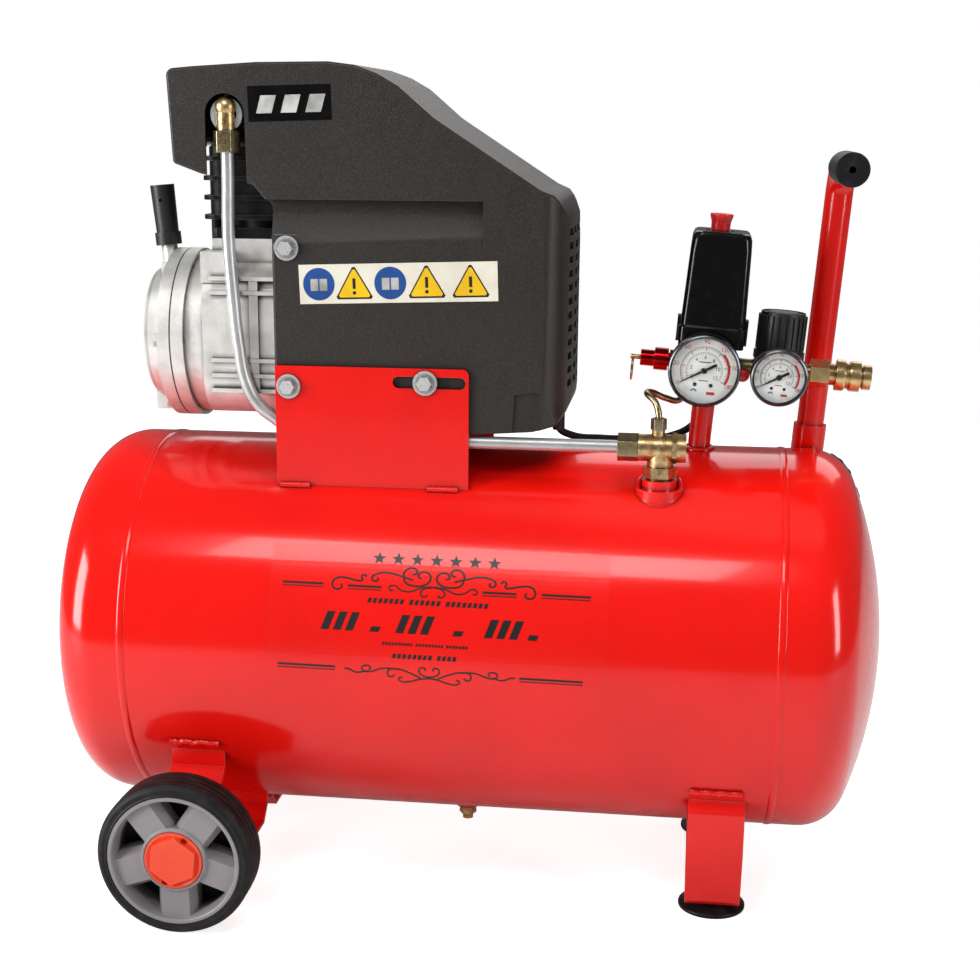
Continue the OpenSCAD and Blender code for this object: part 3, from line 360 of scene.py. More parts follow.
def finish_named(name, colour, roughness, metallic=0.0, **sockets):
    """A new material with its constant values on the shader itself; returns it and its tree."""
    material = bpy.data.materials.new(name)
    material.use_nodes = True
    shader = material.node_tree.nodes["Principled BSDF"]
    shader.inputs["Base Color"].default_value = linear(colour)
    shader.inputs["Roughness"].default_value = roughness
    shader.inputs["Metallic"].default_value = metallic
    for key, value in sockets.items():
        shader.inputs[key.replace("_", " ")].default_value = value
    return material, material.node_tree


def add(tree, kind, links=None, **settings):
    """Adds a node; links maps an input to an output socket or a value."""
    made = tree.nodes.new(kind)
    for key, value in settings.items():
        setattr(made, key, value)
    for key, value in (links or {}).items():
        socket = made.inputs[key]
        if isinstance(value, bpy.types.NodeSocket):
            tree.links.new(value, socket)
        else:
            socket.default_value = value
    return made


def feed(tree, output, socket):
    """Links an output to one of the shader's inputs."""
    tree.links.new(output, tree.nodes["Principled BSDF"].inputs[socket])


def place_on(tree, stretch=(1, 1, 1)):
    """Object coordinates, stretched where a pattern runs one way."""
    where = add(tree, "ShaderNodeTexCoord").outputs["Object"]
    return add(tree, "ShaderNodeMapping", {"Vector": where, "Scale": stretch}).outputs[0]


def noise(tree, size_mm, detail=2, stretch=(1, 1, 1)):
    """A noise whose lumps are about size_mm across."""
    return add(tree, "ShaderNodeTexNoise", {"Vector": place_on(tree, stretch), "Detail": detail,
                                            "Scale": 1 / (size_mm * MM)}).outputs["Fac"]


def ranged(tree, value, low, high, start=0.35, end=0.65):
    """Maps a noise to low..high."""
    return add(tree, "ShaderNodeMapRange", {"Value": value, "From Min": start, "From Max": end,
                                            "To Min": low, "To Max": high}).outputs["Result"]


def mixed(tree, factor, first, second):
    """A colour between two sRGB hex colours, or sockets."""
    made = add(tree, "ShaderNodeMix", data_type="RGBA")
    tree.links.new(factor, made.inputs[0])
    for index, colour in ((6, first), (7, second)):
        if isinstance(colour, str):
            made.inputs[index].default_value = linear(colour)
        else:
            tree.links.new(colour, made.inputs[index])
    return made.outputs[2]


def bumped(tree, height, depth_mm, strength, onto=None):
    """Turns a height into a bump of real depth on the shader's normal, over another bump if given."""
    links = {"Height": height, "Distance": depth_mm * MM, "Strength": strength}
    if onto is not None:
        links["Normal"] = onto
    made = add(tree, "ShaderNodeBump", links)
    feed(tree, made.outputs["Normal"], "Normal")
    return made.outputs["Normal"]


def in_corners(tree, colour, reach_mm, shade):
    """A colour that darkens where surfaces meet within reach: painted shade, as shade falls in corners."""
    near = add(tree, "ShaderNodeAmbientOcclusion", {"Distance": reach_mm * MM}, samples=6)
    return mixed(tree, ranged(tree, near.outputs["AO"], 0, 1, 0.45, 0.95), shade, colour)


def worn_edges(tree, radius_mm, gain):
    """1 where the surface turns sharply, from a bevelled normal against the plain one."""
    bevel = add(tree, "ShaderNodeBevel", {"Radius": radius_mm * MM}, samples=4)
    plain = add(tree, "ShaderNodeNewGeometry")
    dot = add(tree, "ShaderNodeVectorMath", operation="DOT_PRODUCT")
    tree.links.new(bevel.outputs["Normal"], dot.inputs[0])
    tree.links.new(plain.outputs["Normal"], dot.inputs[1])
    flipped = add(tree, "ShaderNodeMath", {0: 1.0, 1: dot.outputs["Value"]}, operation="SUBTRACT")
    return add(tree, "ShaderNodeMath", {0: flipped.outputs[0], 1: gain}, operation="MULTIPLY",
               use_clamp=True).outputs[0]

# %% [markdown]
# ## Red gloss enamel
# The tank is sprayed with an alkyd enamel that flows out to a deep wet gloss. What gives it away as
# paint and not plastic is the orange peel, a very low ripple a few millimetres across, which bends the
# edges of its highlights, and the fine specks of dust caught in it. The coat on the shader is the clear
# surface of the enamel, and the colour lies under it.

# %% Red paints
RED, RED_DEEP = "#e6130b", "#dc110a"
# RED_SHADE is the painted shade that the enamel takes in its corners
RED_WORN, RED_SHADE = "#e2322a", "#8c0a07"


def red_enamel(name, peel_mm, peel_depth, roughness):
    material, tree = finish_named(name, RED, roughness, Coat_Weight=0.35, Coat_Roughness=0.05,
                                  Specular_IOR_Level=0.36)
    colour = mixed(tree, ranged(tree, noise(tree, 90, detail=3), 0, 1), RED, RED_DEEP)
    body = mixed(tree, worn_edges(tree, 1.2, 2.5), colour, RED_WORN)
    # painted shade: the enamel darkens towards RED_SHADE where surfaces meet
    feed(tree, in_corners(tree, body, 5, RED_SHADE), "Base Color")
    sag = bumped(tree, noise(tree, 60, detail=1), 0.35, 0.5)
    bumped(tree, noise(tree, peel_mm, detail=1), peel_depth, 0.6, sag)
    specks = noise(tree, 1.4, detail=4)
    feed(tree, ranged(tree, specks, roughness, roughness + 0.1, 0.62, 0.8), "Roughness")
    return material


tank_enamel = red_enamel("alkyd gloss enamel, sprayed", 3.5, 0.05, 0.16)
weldment_enamel = red_enamel("alkyd gloss enamel, on bent plate", 2.2, 0.09, 0.24)

# %% [markdown]
# ## Moulded plastics
# The cover is ABS from a tool with a fine spark-eroded grain, so its black turns grey-brown where light
# grazes it; that sheen is painted lighter on the grain's high spots here, and painted shade darkens the
# cover's corners and cove. The switch housing comes from a polished tool, and the wheels are
# polypropylene, which has a waxy sheen and a faint flow pattern.


# %% Plastics
def moulded(name, colour, lighter, roughness, grain_mm, depth_mm, edge_colour, grain_sheen=None, **sockets):
    """A moulded plastic with a tool grain of a given size and depth; a sheen colour, if given, is painted
    on the grain's high spots as painted sheen, and the corners then get painted shade.
    """
    material, tree = finish_named(name, colour, roughness, **sockets)
    body = mixed(tree, ranged(tree, noise(tree, 60, detail=4), 0, 1), colour, lighter)
    body = mixed(tree, worn_edges(tree, 0.9, 3), body, edge_colour)
    grain = noise(tree, grain_mm, detail=3)
    # painted sheen on the grain's high spots, and painted shade in the corners and the cove
    if grain_sheen:
        body = mixed(tree, ranged(tree, grain, 0, 1, 0.48, 0.72), body, grain_sheen)
        body = in_corners(tree, body, 11, "#060505")
    feed(tree, body, "Base Color")
    bumped(tree, grain, depth_mm, 0.7)
    feed(tree, ranged(tree, grain, roughness - 0.05, roughness + 0.1), "Roughness")
    return material


# the last colour is the painted sheen on the grain's high spots
grained_abs = moulded("black ABS, spark-eroded grain", "#1c1815", "#221d1a", 0.43, 0.8, 0.22, "#4a4541",
                      grain_sheen="#393430")
polished_abs = moulded("black ABS, polished tool", "#050506", "#060607", 0.14, 9, 0.004, "#101012",
                       Specular_IOR_Level=0.4)
ribbed_abs = moulded("black ABS, matt tool", "#191919", "#232323", 0.4, 0.8, 0.06, "#3d3d3d")
grey_polypropylene = moulded("grey polypropylene, moulded", "#7f7b7d", "#8a8688", 0.38, 1.6, 0.05,
                             "#a9a7ad")
orange_polypropylene = moulded("orange-red polypropylene, moulded", "#e03c1c", "#e94826", 0.32, 1.8, 0.04,
                               "#f6805f")
red_nylon = moulded("red nylon, moulded", "#c91519", "#d8262a", 0.25, 1.5, 0.03, "#ee6a6a")
gauge_black = moulded("black enamelled steel case", "#17181a", "#1d1e20", 0.25, 1.0, 0.02, "#3a3b3d")

# %% [markdown]
# ## Rubber
# Tyre rubber and the feet are carbon black, matt, with a bloom that greys their high spots. The grip is
# softer and more even. Neither has a coat.


# %% Rubber
def rubber(name, colour, bloom, roughness):
    material, tree = finish_named(name, colour, roughness, Specular_IOR_Level=0.25)
    body = mixed(tree, ranged(tree, noise(tree, 9, detail=5), 0, 1, 0.45, 0.75), colour, bloom)
    feed(tree, mixed(tree, worn_edges(tree, 0.8, 2.0), body, bloom), "Base Color")
    bumped(tree, noise(tree, 0.9, detail=3), 0.05, 0.6)
    return material


tyre_rubber = rubber("tyre rubber, vulcanised", "#141414", "#262627", 0.52)
foot_rubber = rubber("natural rubber, pressed", "#101011", "#232324", 0.38)
grip_rubber = rubber("grip rubber, dipped", "#141415", "#262627", 0.45)
cable_pvc = rubber("PVC cable sheath, extruded", "#0e0e0f", "#19191a", 0.35)

# %% [markdown]
# ## Metals
# Die-cast aluminium is bright but never smooth: the die leaves a fine pebble and the odd dull patch.
# Turned brass carries rings from the lathe, drawn aluminium tube has lines along it, and zinc plate is
# even, bluish and slightly clouded. Each is a metal shader whose roughness follows the way it was made.


# %% Metals
def metal(name, colour, tint, roughness, lump_mm, depth_mm, cloud_mm=14, stretch=(1, 1, 1), edges=None,
          spread=0.14, metallic=1.0, grime=None):
    """A metal whose colour clouds towards a tint, with a relief of lumps or lines, and darkened corners as
    painted shade when a shade colour is given.
    """
    material, tree = finish_named(name, colour, roughness, metallic=metallic)
    body = mixed(tree, ranged(tree, noise(tree, cloud_mm, detail=5), 0, 1), colour, tint)
    if edges:
        body = mixed(tree, worn_edges(tree, 0.7, 3.5), body, edges)
    # painted shade: corners darkened towards the given colour, where shade falls
    if grime:
        body = in_corners(tree, body, 4.5, grime)
    feed(tree, body, "Base Color")
    relief = noise(tree, lump_mm, detail=3, stretch=stretch)
    bumped(tree, relief, depth_mm, 0.7)
    feed(tree, ranged(tree, relief, roughness - spread / 2, roughness + spread / 2), "Roughness")
    return material


# the last colour given to each of these metals is the painted shade in its corners
cast_aluminium = metal("die-cast aluminium, shot blasted", "#efeeea", "#dbd9d4", 0.46, 1.3, 0.1,
                       edges="#f6f6f4", metallic=0.7, grime="#5f5a55")
zinc_plate = metal("steel, zinc plated", "#e2e3e3", "#d3d5d7", 0.3, 2.5, 0.01, edges="#f2f3f4",
                   spread=0.06, metallic=0.55, grime="#55524f")
machined_steel = metal("steel, turned", "#a4a6a8", "#8e9093", 0.3, 0.6, 0.03, stretch=(8, 1, 1))
turned_brass = metal("brass, turned", "#ecd098", "#d8b67a", 0.26, 0.7, 0.03, cloud_mm=9,
                     stretch=(6, 1, 1), edges="#f3e0b2", grime="#8a6a3a")
cast_brass = metal("brass, hot pressed", "#e4c798", "#ad8852", 0.34, 0.9, 0.08, cloud_mm=5,
                   edges="#ead7ac", grime="#5a4023")
nickel_brass = metal("brass, nickel plated and handled", "#b9ab8a", "#988862", 0.32, 1.0, 0.05,
                     cloud_mm=8, edges="#dfd6bd", grime="#4a3d2a")
drawn_aluminium = metal("aluminium tube, drawn", "#cfd0d0", "#c0c1c1", 0.4, 3, 0.01, cloud_mm=18,
                        metallic=0.75, spread=0.08)
# the bezel steel is painted dark grey as a painted reflection of dark surroundings; the dial screws share
# it
bezel_steel = metal("stainless steel, rolled", "#5f6266", "#515458", 0.24, 4.0, 0.005, spread=0.04)
black_iron = metal("grey iron, black heat paint", "#2c2c2d", "#1e1e1f", 0.5, 1.2, 0.15, edges="#5b5b5c")
red_anodised = metal("aluminium, red anodised", "#c2181c", "#a30f14", 0.22, 0.8, 0.02,
                     stretch=(6, 1, 1), edges="#ee6d68")
copper_winding = metal("copper winding, varnished", "#8a4524", "#6e331a", 0.35, 1.2, 0.25,
                       stretch=(0.3, 1, 1))
plate_aluminium = metal("aluminium plate, printed", "#b9bcc0", "#a7aaae", 0.32, 0.8, 0.02)

# %% [markdown]
# ## Glass, dials and print
# The gauge windows are thin clear polycarbonate. Dials are white enamel with black and red print, and
# the stickers are vinyl: the print is flat colour with a slight gloss, and the film shows a faint
# ripple where it was rubbed down.

# %% Clear and printed finishes
# a thin window bends light far less than a thick one, so its index is set low
clear_lens, lens_tree = finish_named("polycarbonate, clear", "#ffffff", 0.03, Transmission_Weight=1.0,
                                     IOR=1.05)
bumped(lens_tree, noise(lens_tree, 12, detail=1), 0.01, 0.2)
sight_glass, sight_tree = finish_named("acrylic over oil, amber", "#d8b45a", 0.06,
                                       Transmission_Weight=0.75)
bumped(sight_tree, noise(sight_tree, 8, detail=1), 0.02, 0.3)


def print_on(name, colour, roughness, ripple_mm=6, depth_mm=0.02, shade=None):
    """Ink or film: one colour, a breath of unevenness, and the ripple of the film under it."""
    material, tree = finish_named(name, colour, roughness, Coat_Weight=0.2, Coat_Roughness=0.1)
    feed(tree, mixed(tree, ranged(tree, noise(tree, 18, detail=3), 0, 1), colour, shade or colour),
         "Base Color")
    bumped(tree, noise(tree, ripple_mm, detail=2), depth_mm, 0.5)
    return material


dial_white = print_on("white enamel on a dial", "#f1f2ee", 0.4, shade="#e4e5e0")
dial_black = print_on("black print on a dial", "#17181a", 0.45)
dial_red = print_on("red print on a dial", "#c3262a", 0.45)
dial_blue = print_on("blue print on a dial", "#2d7fae", 0.45)
vinyl_cream = print_on("cream vinyl", "#e6e2d3", 0.35, shade="#dcd6c4")
vinyl_blue = print_on("blue ink on vinyl", "#1f4f95", 0.35, shade="#1b4584")
vinyl_yellow = print_on("yellow ink on vinyl", "#eec31a", 0.35, shade="#e2b514")
vinyl_black = print_on("black ink on vinyl", "#191716", 0.4, shade="#221f1e")
vinyl_grey = print_on("silver ink on vinyl", "#c9c8c4", 0.4, shade="#8f8e8b")
badge_black = print_on("black ink on enamel", "#0c0404", 0.5, shade="#140606")
badge_film = red_enamel("clear film over enamel", 5, 0.06, 0.24)
gasket_fibre = print_on("gasket fibre", "#2e2d2a", 0.8, 1.5, 0.05)

# %% [markdown]
# ## Dressing a piece
# Every piece belongs to a body of the mechanism, is given a finish, and may stand for an imported part,
# which is then hidden. One helper does all three, and looks the body up by the part's name.

# %% Dress
body_of = {node: body for body, members in frame["record"]["behaviour"]["bodies"].items()
           for node in members}


def dress(piece, material, near, replaced=()):
    """Gives a piece its finish and the body of the node it is near, and hides the parts that it replaces.
    """
    piece.data.materials.clear()
    piece.data.materials.append(material)
    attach(piece, body_of[near])
    if replaced:
        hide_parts(*replaced)
    return piece


# %% [markdown]
# ## Parts that only need their edges broken
# Castings, nuts, plates and screws have the right shape already. Real ones have no knife edges, so each
# gets a skin: the same shape with rounded edges that catch the light. The width is the radius that the
# process leaves, from 0.3 mm on a turned part to 1.5 mm on a casting.

# %% Skins
SKINS = {
    "tank_bosses": (0.8, weldment_enamel), "manifold_post": (0.3, weldment_enamel),
    "drain_screw": (0.3, cast_brass), "wheel_brackets": (0.8, weldment_enamel),
    "foot_brackets": (0.8, weldment_enamel), "rubber_feet": (0.8, foot_rubber), "axles": (0.4, zinc_plate),
    "handle_tube": (0.3, weldment_enamel), "handle_grip": (4.5, grip_rubber),
    "pump_brackets": (0.7, weldment_enamel), "mounting_bolts": (0.4, zinc_plate),
    "crankcase": (1.2, cast_aluminium), "crankcase_gasket": (0.2, gasket_fibre),
    "crankcase_cover": (1.8, cast_aluminium), "pump_screws": (0.4, zinc_plate),
    "breather_pipe": (0.7, ribbed_abs), "cylinder": (0.6, black_iron), "cylinder_head": (0.8, black_iron),
    "discharge_elbow": (0.6, cast_brass), "tube_nuts": (0.6, nickel_brass),
    "check_valve": (0.6, cast_brass), "manifold": (0.8, nickel_brass), "switch_base": (0.8, polished_abs),
    "switch_knob": (0.4, red_nylon), "regulator_body": (0.8, ribbed_abs),
    "regulator_knob": (0.4, ribbed_abs), "safety_valve": (0.5, red_anodised),
    "safety_valve_ring": (0.2, turned_brass), "coupler_body": (0.5, turned_brass),
    "coupler_sleeve": (0.5, turned_brass), "cable_glands": (0.5, ribbed_abs),
}
stud_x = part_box("crankcase")[0].x + 25 * MM
for node, (width, material) in SKINS.items():
    skin = dress(soften(node, width), material, node, [node])
    print(node, "skin:", len(skin.data.polygons), "faces")
    if node == "pump_screws":
        # the long studs of the cylinder are blackened, the screws of the crankcase cover are zinc
        skin.data.materials.append(black_iron)
        for face in skin.data.polygons:
            face.material_index = 1 if face.center.x > stud_x else 0

# %% [markdown]
# ## Parts inside the pump
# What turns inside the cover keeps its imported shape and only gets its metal. It shows through the air
# slots and when the mechanism is posed.

# %% Inner parts
INNER = {
    "valve_plate": machined_steel, "piston": cast_aluminium, "connecting_rod": drawn_aluminium,
    "crankshaft": machined_steel, "shaft_bearings": machined_steel, "motor_stator": copper_winding,
    "motor_rotor": machined_steel, "motor_end_shield": cast_aluminium, "cooling_fan": ribbed_abs,
    "adjusting_screw": machined_steel, "oil_sight_glass": sight_glass, "gauge_lenses": clear_lens,
    "tank_gauge_needle": dial_black, "line_gauge_needle": dial_black,
}
for node, material in INNER.items():
    nodes[node].data.materials.clear()
    nodes[node].data.materials.append(material)

# %% [markdown]
# ## Tank
# A vessel is a sheet rolled into a tube, with one long seam, and two pressed heads welded on. The heads
# are spun from the profile that the press leaves: a straight flange, a tight knuckle, then a shallow
# crown. A round weld bead runs over each joint, laid in small overlapping ripples, and the enamel
# follows it.

# %% Tank sizes from the frame
shell_low, shell_high = box_mm("tank_shell")
tank_r = (shell_high.z - shell_low.z) / 2
axis_z = (shell_high.z + shell_low.z) / 2
seam_x = shell_high.x
tank_top = axis_z + tank_r
WALL, KNUCKLE, CROWN, FLANGE = 3, 38, 340, 24
print("tank radius", round(tank_r, 2), "axis", round(axis_z, 2), "seam", round(seam_x, 2))


def head_curve(radius, knuckle, crown):
    """Points of (along, radius) from the seam over the knuckle to the middle of the crown."""
    turn = math.asin((radius - knuckle) / (crown - knuckle))
    back = FLANGE - (crown - knuckle) * math.cos(turn)
    points = [(0, radius)]
    for i in range(13):
        a = math.pi / 2 - (math.pi / 2 - turn) * i / 12
        points.append((FLANGE + knuckle * math.cos(a), radius - knuckle + knuckle * math.sin(a)))
    for i in range(1, 17):
        a = turn * (1 - i / 16)
        points.append((back + crown * math.cos(a), crown * math.sin(a)))
    return points


def ripple(piece, pitch_mm, depth_mm, around=None):
    """Waves along a weld bead; around is the axis point of a round one."""
    for vertex in piece.data.vertices:
        spot = vertex.co / MM
        if around:
            along = math.atan2(spot.y - around[0], spot.z - around[1]) * around[2]
        else:
            along = spot.x + 0.7 * spot.y + spot.z
        vertex.co += vertex.normal * depth_mm * MM * math.sin(2 * math.pi * along / pitch_mm)
    return piece


# %% Tank shell, heads and seams
shell = lathe("rolled_shell", [(-seam_x, tank_r), (seam_x, tank_r), (seam_x, tank_r - WALL),
                               (-seam_x, tank_r - WALL)], (0, 0, axis_z), steps=192)
dress(shell, tank_enamel, "tank_shell", ["tank_shell"])

head_parts = []
for side in (-1, 1):
    skin = head_curve(tank_r, KNUCKLE, CROWN)
    lining = head_curve(tank_r - WALL, KNUCKLE - WALL, CROWN - WALL)[::-1]
    profile = [(side * (seam_x + along), radius) for along, radius in skin + lining]
    head_parts.append(lathe("pressed_head", profile, (0, 0, axis_z), steps=192))
heads = join(head_parts, "pressed_heads")
smooth(clean(heads), 30)
dress(heads, tank_enamel, "tank_heads", ["tank_heads"])

for side, label in ((-1, "left"), (1, "right")):
    centre = side * (seam_x + 1)
    crown_of_bead = [(centre + 3.4 * math.cos(a), tank_r - 0.6 + 1.3 * math.sin(a))
                     for a in [math.pi * i / 8 for i in range(9)]]
    root = [(centre - 3.4, tank_r - 1.5), (centre + 3.4, tank_r - 1.5)]
    seam = lathe("seam_bead_" + label, crown_of_bead + root, (0, 0, axis_z), steps=360)
    ripple(seam, 5.5, 0.12, (0, axis_z, tank_r))
    dress(seam, tank_enamel, "tank_heads")

# the long seam of the rolled sheet, low at the back
seam_turn = math.radians(35)
long_y, long_z = tank_r * math.sin(seam_turn), axis_z - tank_r * math.cos(seam_turn)
long_seam = pipe("long_seam_bead", [(-seam_x + 4 + 6 * i, long_y, long_z) for i in range(84)], 2.2,
                 resolution=2)
dress(ripple(long_seam, 6, 0.15), tank_enamel, "tank_shell")


# %% [markdown]
# ## Weld beads
# Legs, plates and bosses are tacked or fillet welded to the tank before it is painted, so every joint
# has a lumpy bead under the enamel. Without them the parts look as if they only touch.


# %% Fillets
def on_tank(x, y, lift=0.0, below=False):
    """A point on the tank's round surface."""
    rise = math.sqrt((tank_r + lift) ** 2 - y * y)
    return (x, y, axis_z - rise if below else axis_z + rise)


def fillet(name, points, radius, near):
    piece = pipe(name, points, radius, resolution=6, around=4)
    return dress(ripple(piece, radius * 1.6, radius * 0.12), weldment_enamel, near)


plate_low, plate_high = box_mm("pump_brackets")
plate_y = plate_high.y
for side, label in ((-1, "front"), (1, "back")):
    for spot, x in (("a", plate_low.x + 15), ("b", plate_high.x - 20)):
        fillet(f"plate_tack_{label}_{spot}", [on_tank(x + 3 * i, side * (plate_y + 0.8), 0.6)
                                              for i in range(-4, 5)], 2.6, "pump_brackets")
# the straps' beads lie along their top edges, and wander a little as a hand does
for node, outer in (("wheel_brackets", tank_r - 15), ("foot_brackets", 126)):
    low, high = box_mm(node)
    for side, label in ((-1, "front"), (1, "back")):
        fillet(f"{node}_bead_{label}",
               [on_tank(low.x + 1 + 4 * i, side * (outer + 0.2 * math.sin(2.3 * i)),
                        0.8 + 0.15 * math.sin(1.7 * i + side), below=True)
                for i in range(int((high.x - low.x + 2) / 4))], 2.7, node)


def ring_on_tank(name, x, y, radius, bead, near):
    """A bead round a boss or tube that stands on the tank."""
    spots = [(x + radius * math.cos(a), y + radius * math.sin(a))
             for a in [2 * math.pi * i / 20 for i in range(20)]]
    piece = pipe(name, [on_tank(a, b, 0.4) for a, b in spots], bead, closed=True, resolution=4, around=4)
    return dress(ripple(piece, bead * 1.5, bead * 0.12), weldment_enamel, near)


valve_low, valve_high = box_mm("check_valve")
boss_y = (valve_low.y + valve_high.y) / 2
POST_X = 187
ring_on_tank("post_bead", POST_X, 0, 10.5, 2.4, "manifold_post")
ring_on_tank("boss_bead", 158, boss_y, 16.2, 2.6, "tank_bosses")

# %% [markdown]
# ## Moulded cover
# One deep moulding covers the pump's head and the motor. Its side view is drawn once and pulled out to
# the full width, then its plan is cut to the domed end. Big radii come before the small features, so
# that the hood keeps its soft shoulders while the cove, the slots and the opening stay crisp.

# %% Cover outline
cover_low, cover_high = box_mm("motor_shroud")
half = cover_high.y
hood_left, cover_right = cover_low.x, cover_high.x
base_z = cover_low.z
body_left = hood_left + 79
step_z = base_z + 177
top_z = step_z + 99


def cover_outline(wall, open_ends=False):
    """The side view, or the hollow inside it, which runs out through the open left end and underside."""
    left, right = hood_left + wall, cover_right - wall
    top = [(left, top_z - 6 - wall), (left + 3, top_z - 2.5 - wall), (left + 20, top_z - 1 - wall),
           (hood_left + 70, top_z + 2 - wall), (hood_left + 125, top_z + 2.5 - wall),
           (hood_left + 145, top_z - wall), (hood_left + 162, top_z - 6 - wall * 1.2),
           (hood_left + 178, top_z - 15 - wall * 1.3), (hood_left + 205, top_z - 38 - wall * 1.3),
           (hood_left + 286, step_z + 9 - wall * 1.3), (hood_left + 296, step_z + 5 - wall * 1.1),
           (right - 9, step_z - wall), (right - 3, step_z - 12), (right, step_z - 32)]
    end = [(right, base_z + 30), (right - 4, base_z + 14), (right - 10, base_z + 7 + wall),
           (hood_left + 281, base_z + 3 + wall), (hood_left + 240, base_z + wall)]
    if open_ends:
        return top + end + [(body_left - 10, base_z + wall), (body_left - 10, step_z - 80),
                            (left, step_z - 80)]
    return top + end + [(body_left, base_z), (body_left, step_z - 5), (body_left - 14, step_z + 11),
                        (body_left - 54, step_z + 19), (hood_left + 3, step_z + 27)]


def cover_plan(wall):
    """The view from above, with the domed right end."""
    side, right = half - wall, cover_right - wall
    nose = [(right - 20, 1), (right - 8, 1 - 8 / side), (right - 3, 1 - 24 / side), (right, 0.26)]
    lower = [(x, -side * f) for x, f in nose]
    return [(hood_left + wall - 1, -side)] + lower + [(x, -y) for x, y in lower[::-1]] + \
        [(hood_left + wall - 1, side)]


def cover_body(name, wall, open_ends=False):
    """The side view and the plan, pulled out and kept where both agree."""
    solid = outline(name, cover_outline(wall, open_ends), "xz", -half + wall, half - wall)
    keep = outline("plan", cover_plan(wall), "xy", base_z - 40, top_z + 40)
    apply_modifier(solid, "BOOLEAN", object=keep, operation="INTERSECT", solver="EXACT")
    bpy.data.objects.remove(keep)
    return clean(solid)


# %% Cover, hollowed and opened
cover = cover_body("moulded_cover", 0)
apply_modifier(cover, "BEVEL", width=6 * MM, segments=4, limit_method="ANGLE",
               angle_limit=math.radians(40), use_clamp_overlap=True)
hollow = cover_body("hollow", 2.5, open_ends=True)
for side in (-1, 1):
    near_y, far_y = sorted((side * (half - 12.3), side * (half + 5)))
    cut(hollow, box("cove_wall", (body_left - 12, near_y, step_z - 37),
                    (cover_right - 63, far_y, step_z + 3)))
cover = cut(cover, hollow)

port_x, port_z = hood_left + 45, top_z - 36
slot_points = [(port_x + 15.5 * math.cos(a), port_z + 15.5 * math.sin(a))
               for a in [math.pi * i / 14 for i in range(15)]]
slot_points += [(port_x - 15.5, step_z - 12), (port_x + 16.5, step_z - 12)]
cut(cover, outline("elbow_slot", slot_points, "xz", -half - 3, -half + 22))

# the cove under the hood, which ends at an upright rib
cove = [(-half - 2, step_z + 0.5), (-half + 9.5, step_z + 0.5), (-half + 9, step_z - 8),
        (-half + 6.8, step_z - 16), (-half + 3.4, step_z - 25), (-half - 0.2, step_z - 33),
        (-half - 2, step_z - 33)]
for side in (1, -1):
    cut(cover, outline("cove", [(side * y, z) for y, z in cove], "yz", body_left - 6, cover_right - 66))
# shallow pocket low at the right
pocket = [(cover_right - 43, base_z - 4), (cover_right - 41, base_z + 32), (cover_right - 30, base_z + 34),
          (cover_right + 4, base_z + 34), (cover_right + 4, base_z - 4)]
for side in (1, -1):
    cut(cover, outline("pocket", pocket, "xz", *sorted((side * (half + 2), side * (half - 1.6)))))

# %% Air slots
SLOT_PITCH_Y, SLOT_PITCH_Z = 28, 10.6
slots = []
for row in range(12):
    for column in range(4):
        y = (column - 1.5) * SLOT_PITCH_Y
        z = step_z - 26 - SLOT_PITCH_Z * row
        slots.append(box("slot", (cover_right - 14, y - 9, z), (cover_right + 8, y + 9, z + 5.6)))
cut(cover, join(slots, "air_slots"))
cut(cover, box("tube_notch", (body_left - 1, -half - 3, base_z - 3),
               (body_left + 37, -half + 18, base_z + 16)))
clean(cover)
rounded_edges(cover, 0.7, 2, 40)
dress(cover, grained_abs, "motor_shroud", ["motor_shroud"])
print("cover:", len(cover.data.polygons), "faces")

# %% [markdown]
# ## Stickers on the cover
# A strip of cream vinyl carries two round and three three-cornered signs. They are plain generic shapes
# here. The strip was stuck on a little askew, as hands do. The second one is a dark glossy label with
# three slanting silver bars.


# %% Sticker shapes
def stuck_on(place, turn):
    """Returns a maker of thin flat shapes that lie on the cover's front, askew by turn."""
    def make(name, points, thick):
        piece = outline(name, points, "xz", -thick, 0)
        piece.data.transform(shift(*place) @ Matrix.Rotation(-turn, 4, "Y"))
        return piece
    return make


def circle_points(x, z, radius, count=40):
    turns = [2 * math.pi * i / count for i in range(count)]
    return [(x + radius * math.cos(a), z + radius * math.sin(a)) for a in turns]


def triangle_points(x, z, size):
    """An upright triangle with slightly cut corners."""
    corners = [(x - size / 2, z), (x + size / 2, z), (x, z + size * 0.86)]
    points = []
    for i in range(3):
        a, b, c = (Vector(corners[(i + k) % 3]) for k in (-1, 0, 1))
        points += [tuple(b + (a - b) * 0.07), tuple(b + (c - b) * 0.07)]
    return points


def slab_points(x0, z0, x1, z1, lean=0.0):
    return [(x0, z0), (x1, z0), (x1 + lean, z1), (x0 + lean, z1)]


# %% Sticker strip
on_strip = stuck_on((hood_left + 101, -half - 0.02, base_z + 98.5), math.radians(1.9))
strip_inks = {vinyl_cream: [on_strip("strip", slab_points(0, 0, 154, 30), 0.22)],
              vinyl_blue: [], vinyl_yellow: [], vinyl_black: [], vinyl_grey: []}
for x in (15.4, 71.2):                   # an open book on a blue disc
    strip_inks[vinyl_blue].append(on_strip("disc", circle_points(x, 15, 12.4), 0.3))
    for left, right in ((-6.5, -0.6), (0.6, 6.5)):
        strip_inks[vinyl_grey].append(on_strip("page", slab_points(x + left, 10, x + right, 19), 0.38))
for x in (43, 99.4, 133.2):              # an upright mark on a yellow triangle
    strip_inks[vinyl_yellow].append(on_strip("field", triangle_points(x, 4.6, 26.4), 0.38))
    strip_inks[vinyl_black] += [on_strip("edge", triangle_points(x, 3.2, 30.5), 0.3),
                                on_strip("mark", slab_points(x - 1.2, 11, x + 1.2, 19), 0.46),
                                on_strip("dot", circle_points(x, 8, 1.4, 16), 0.46)]
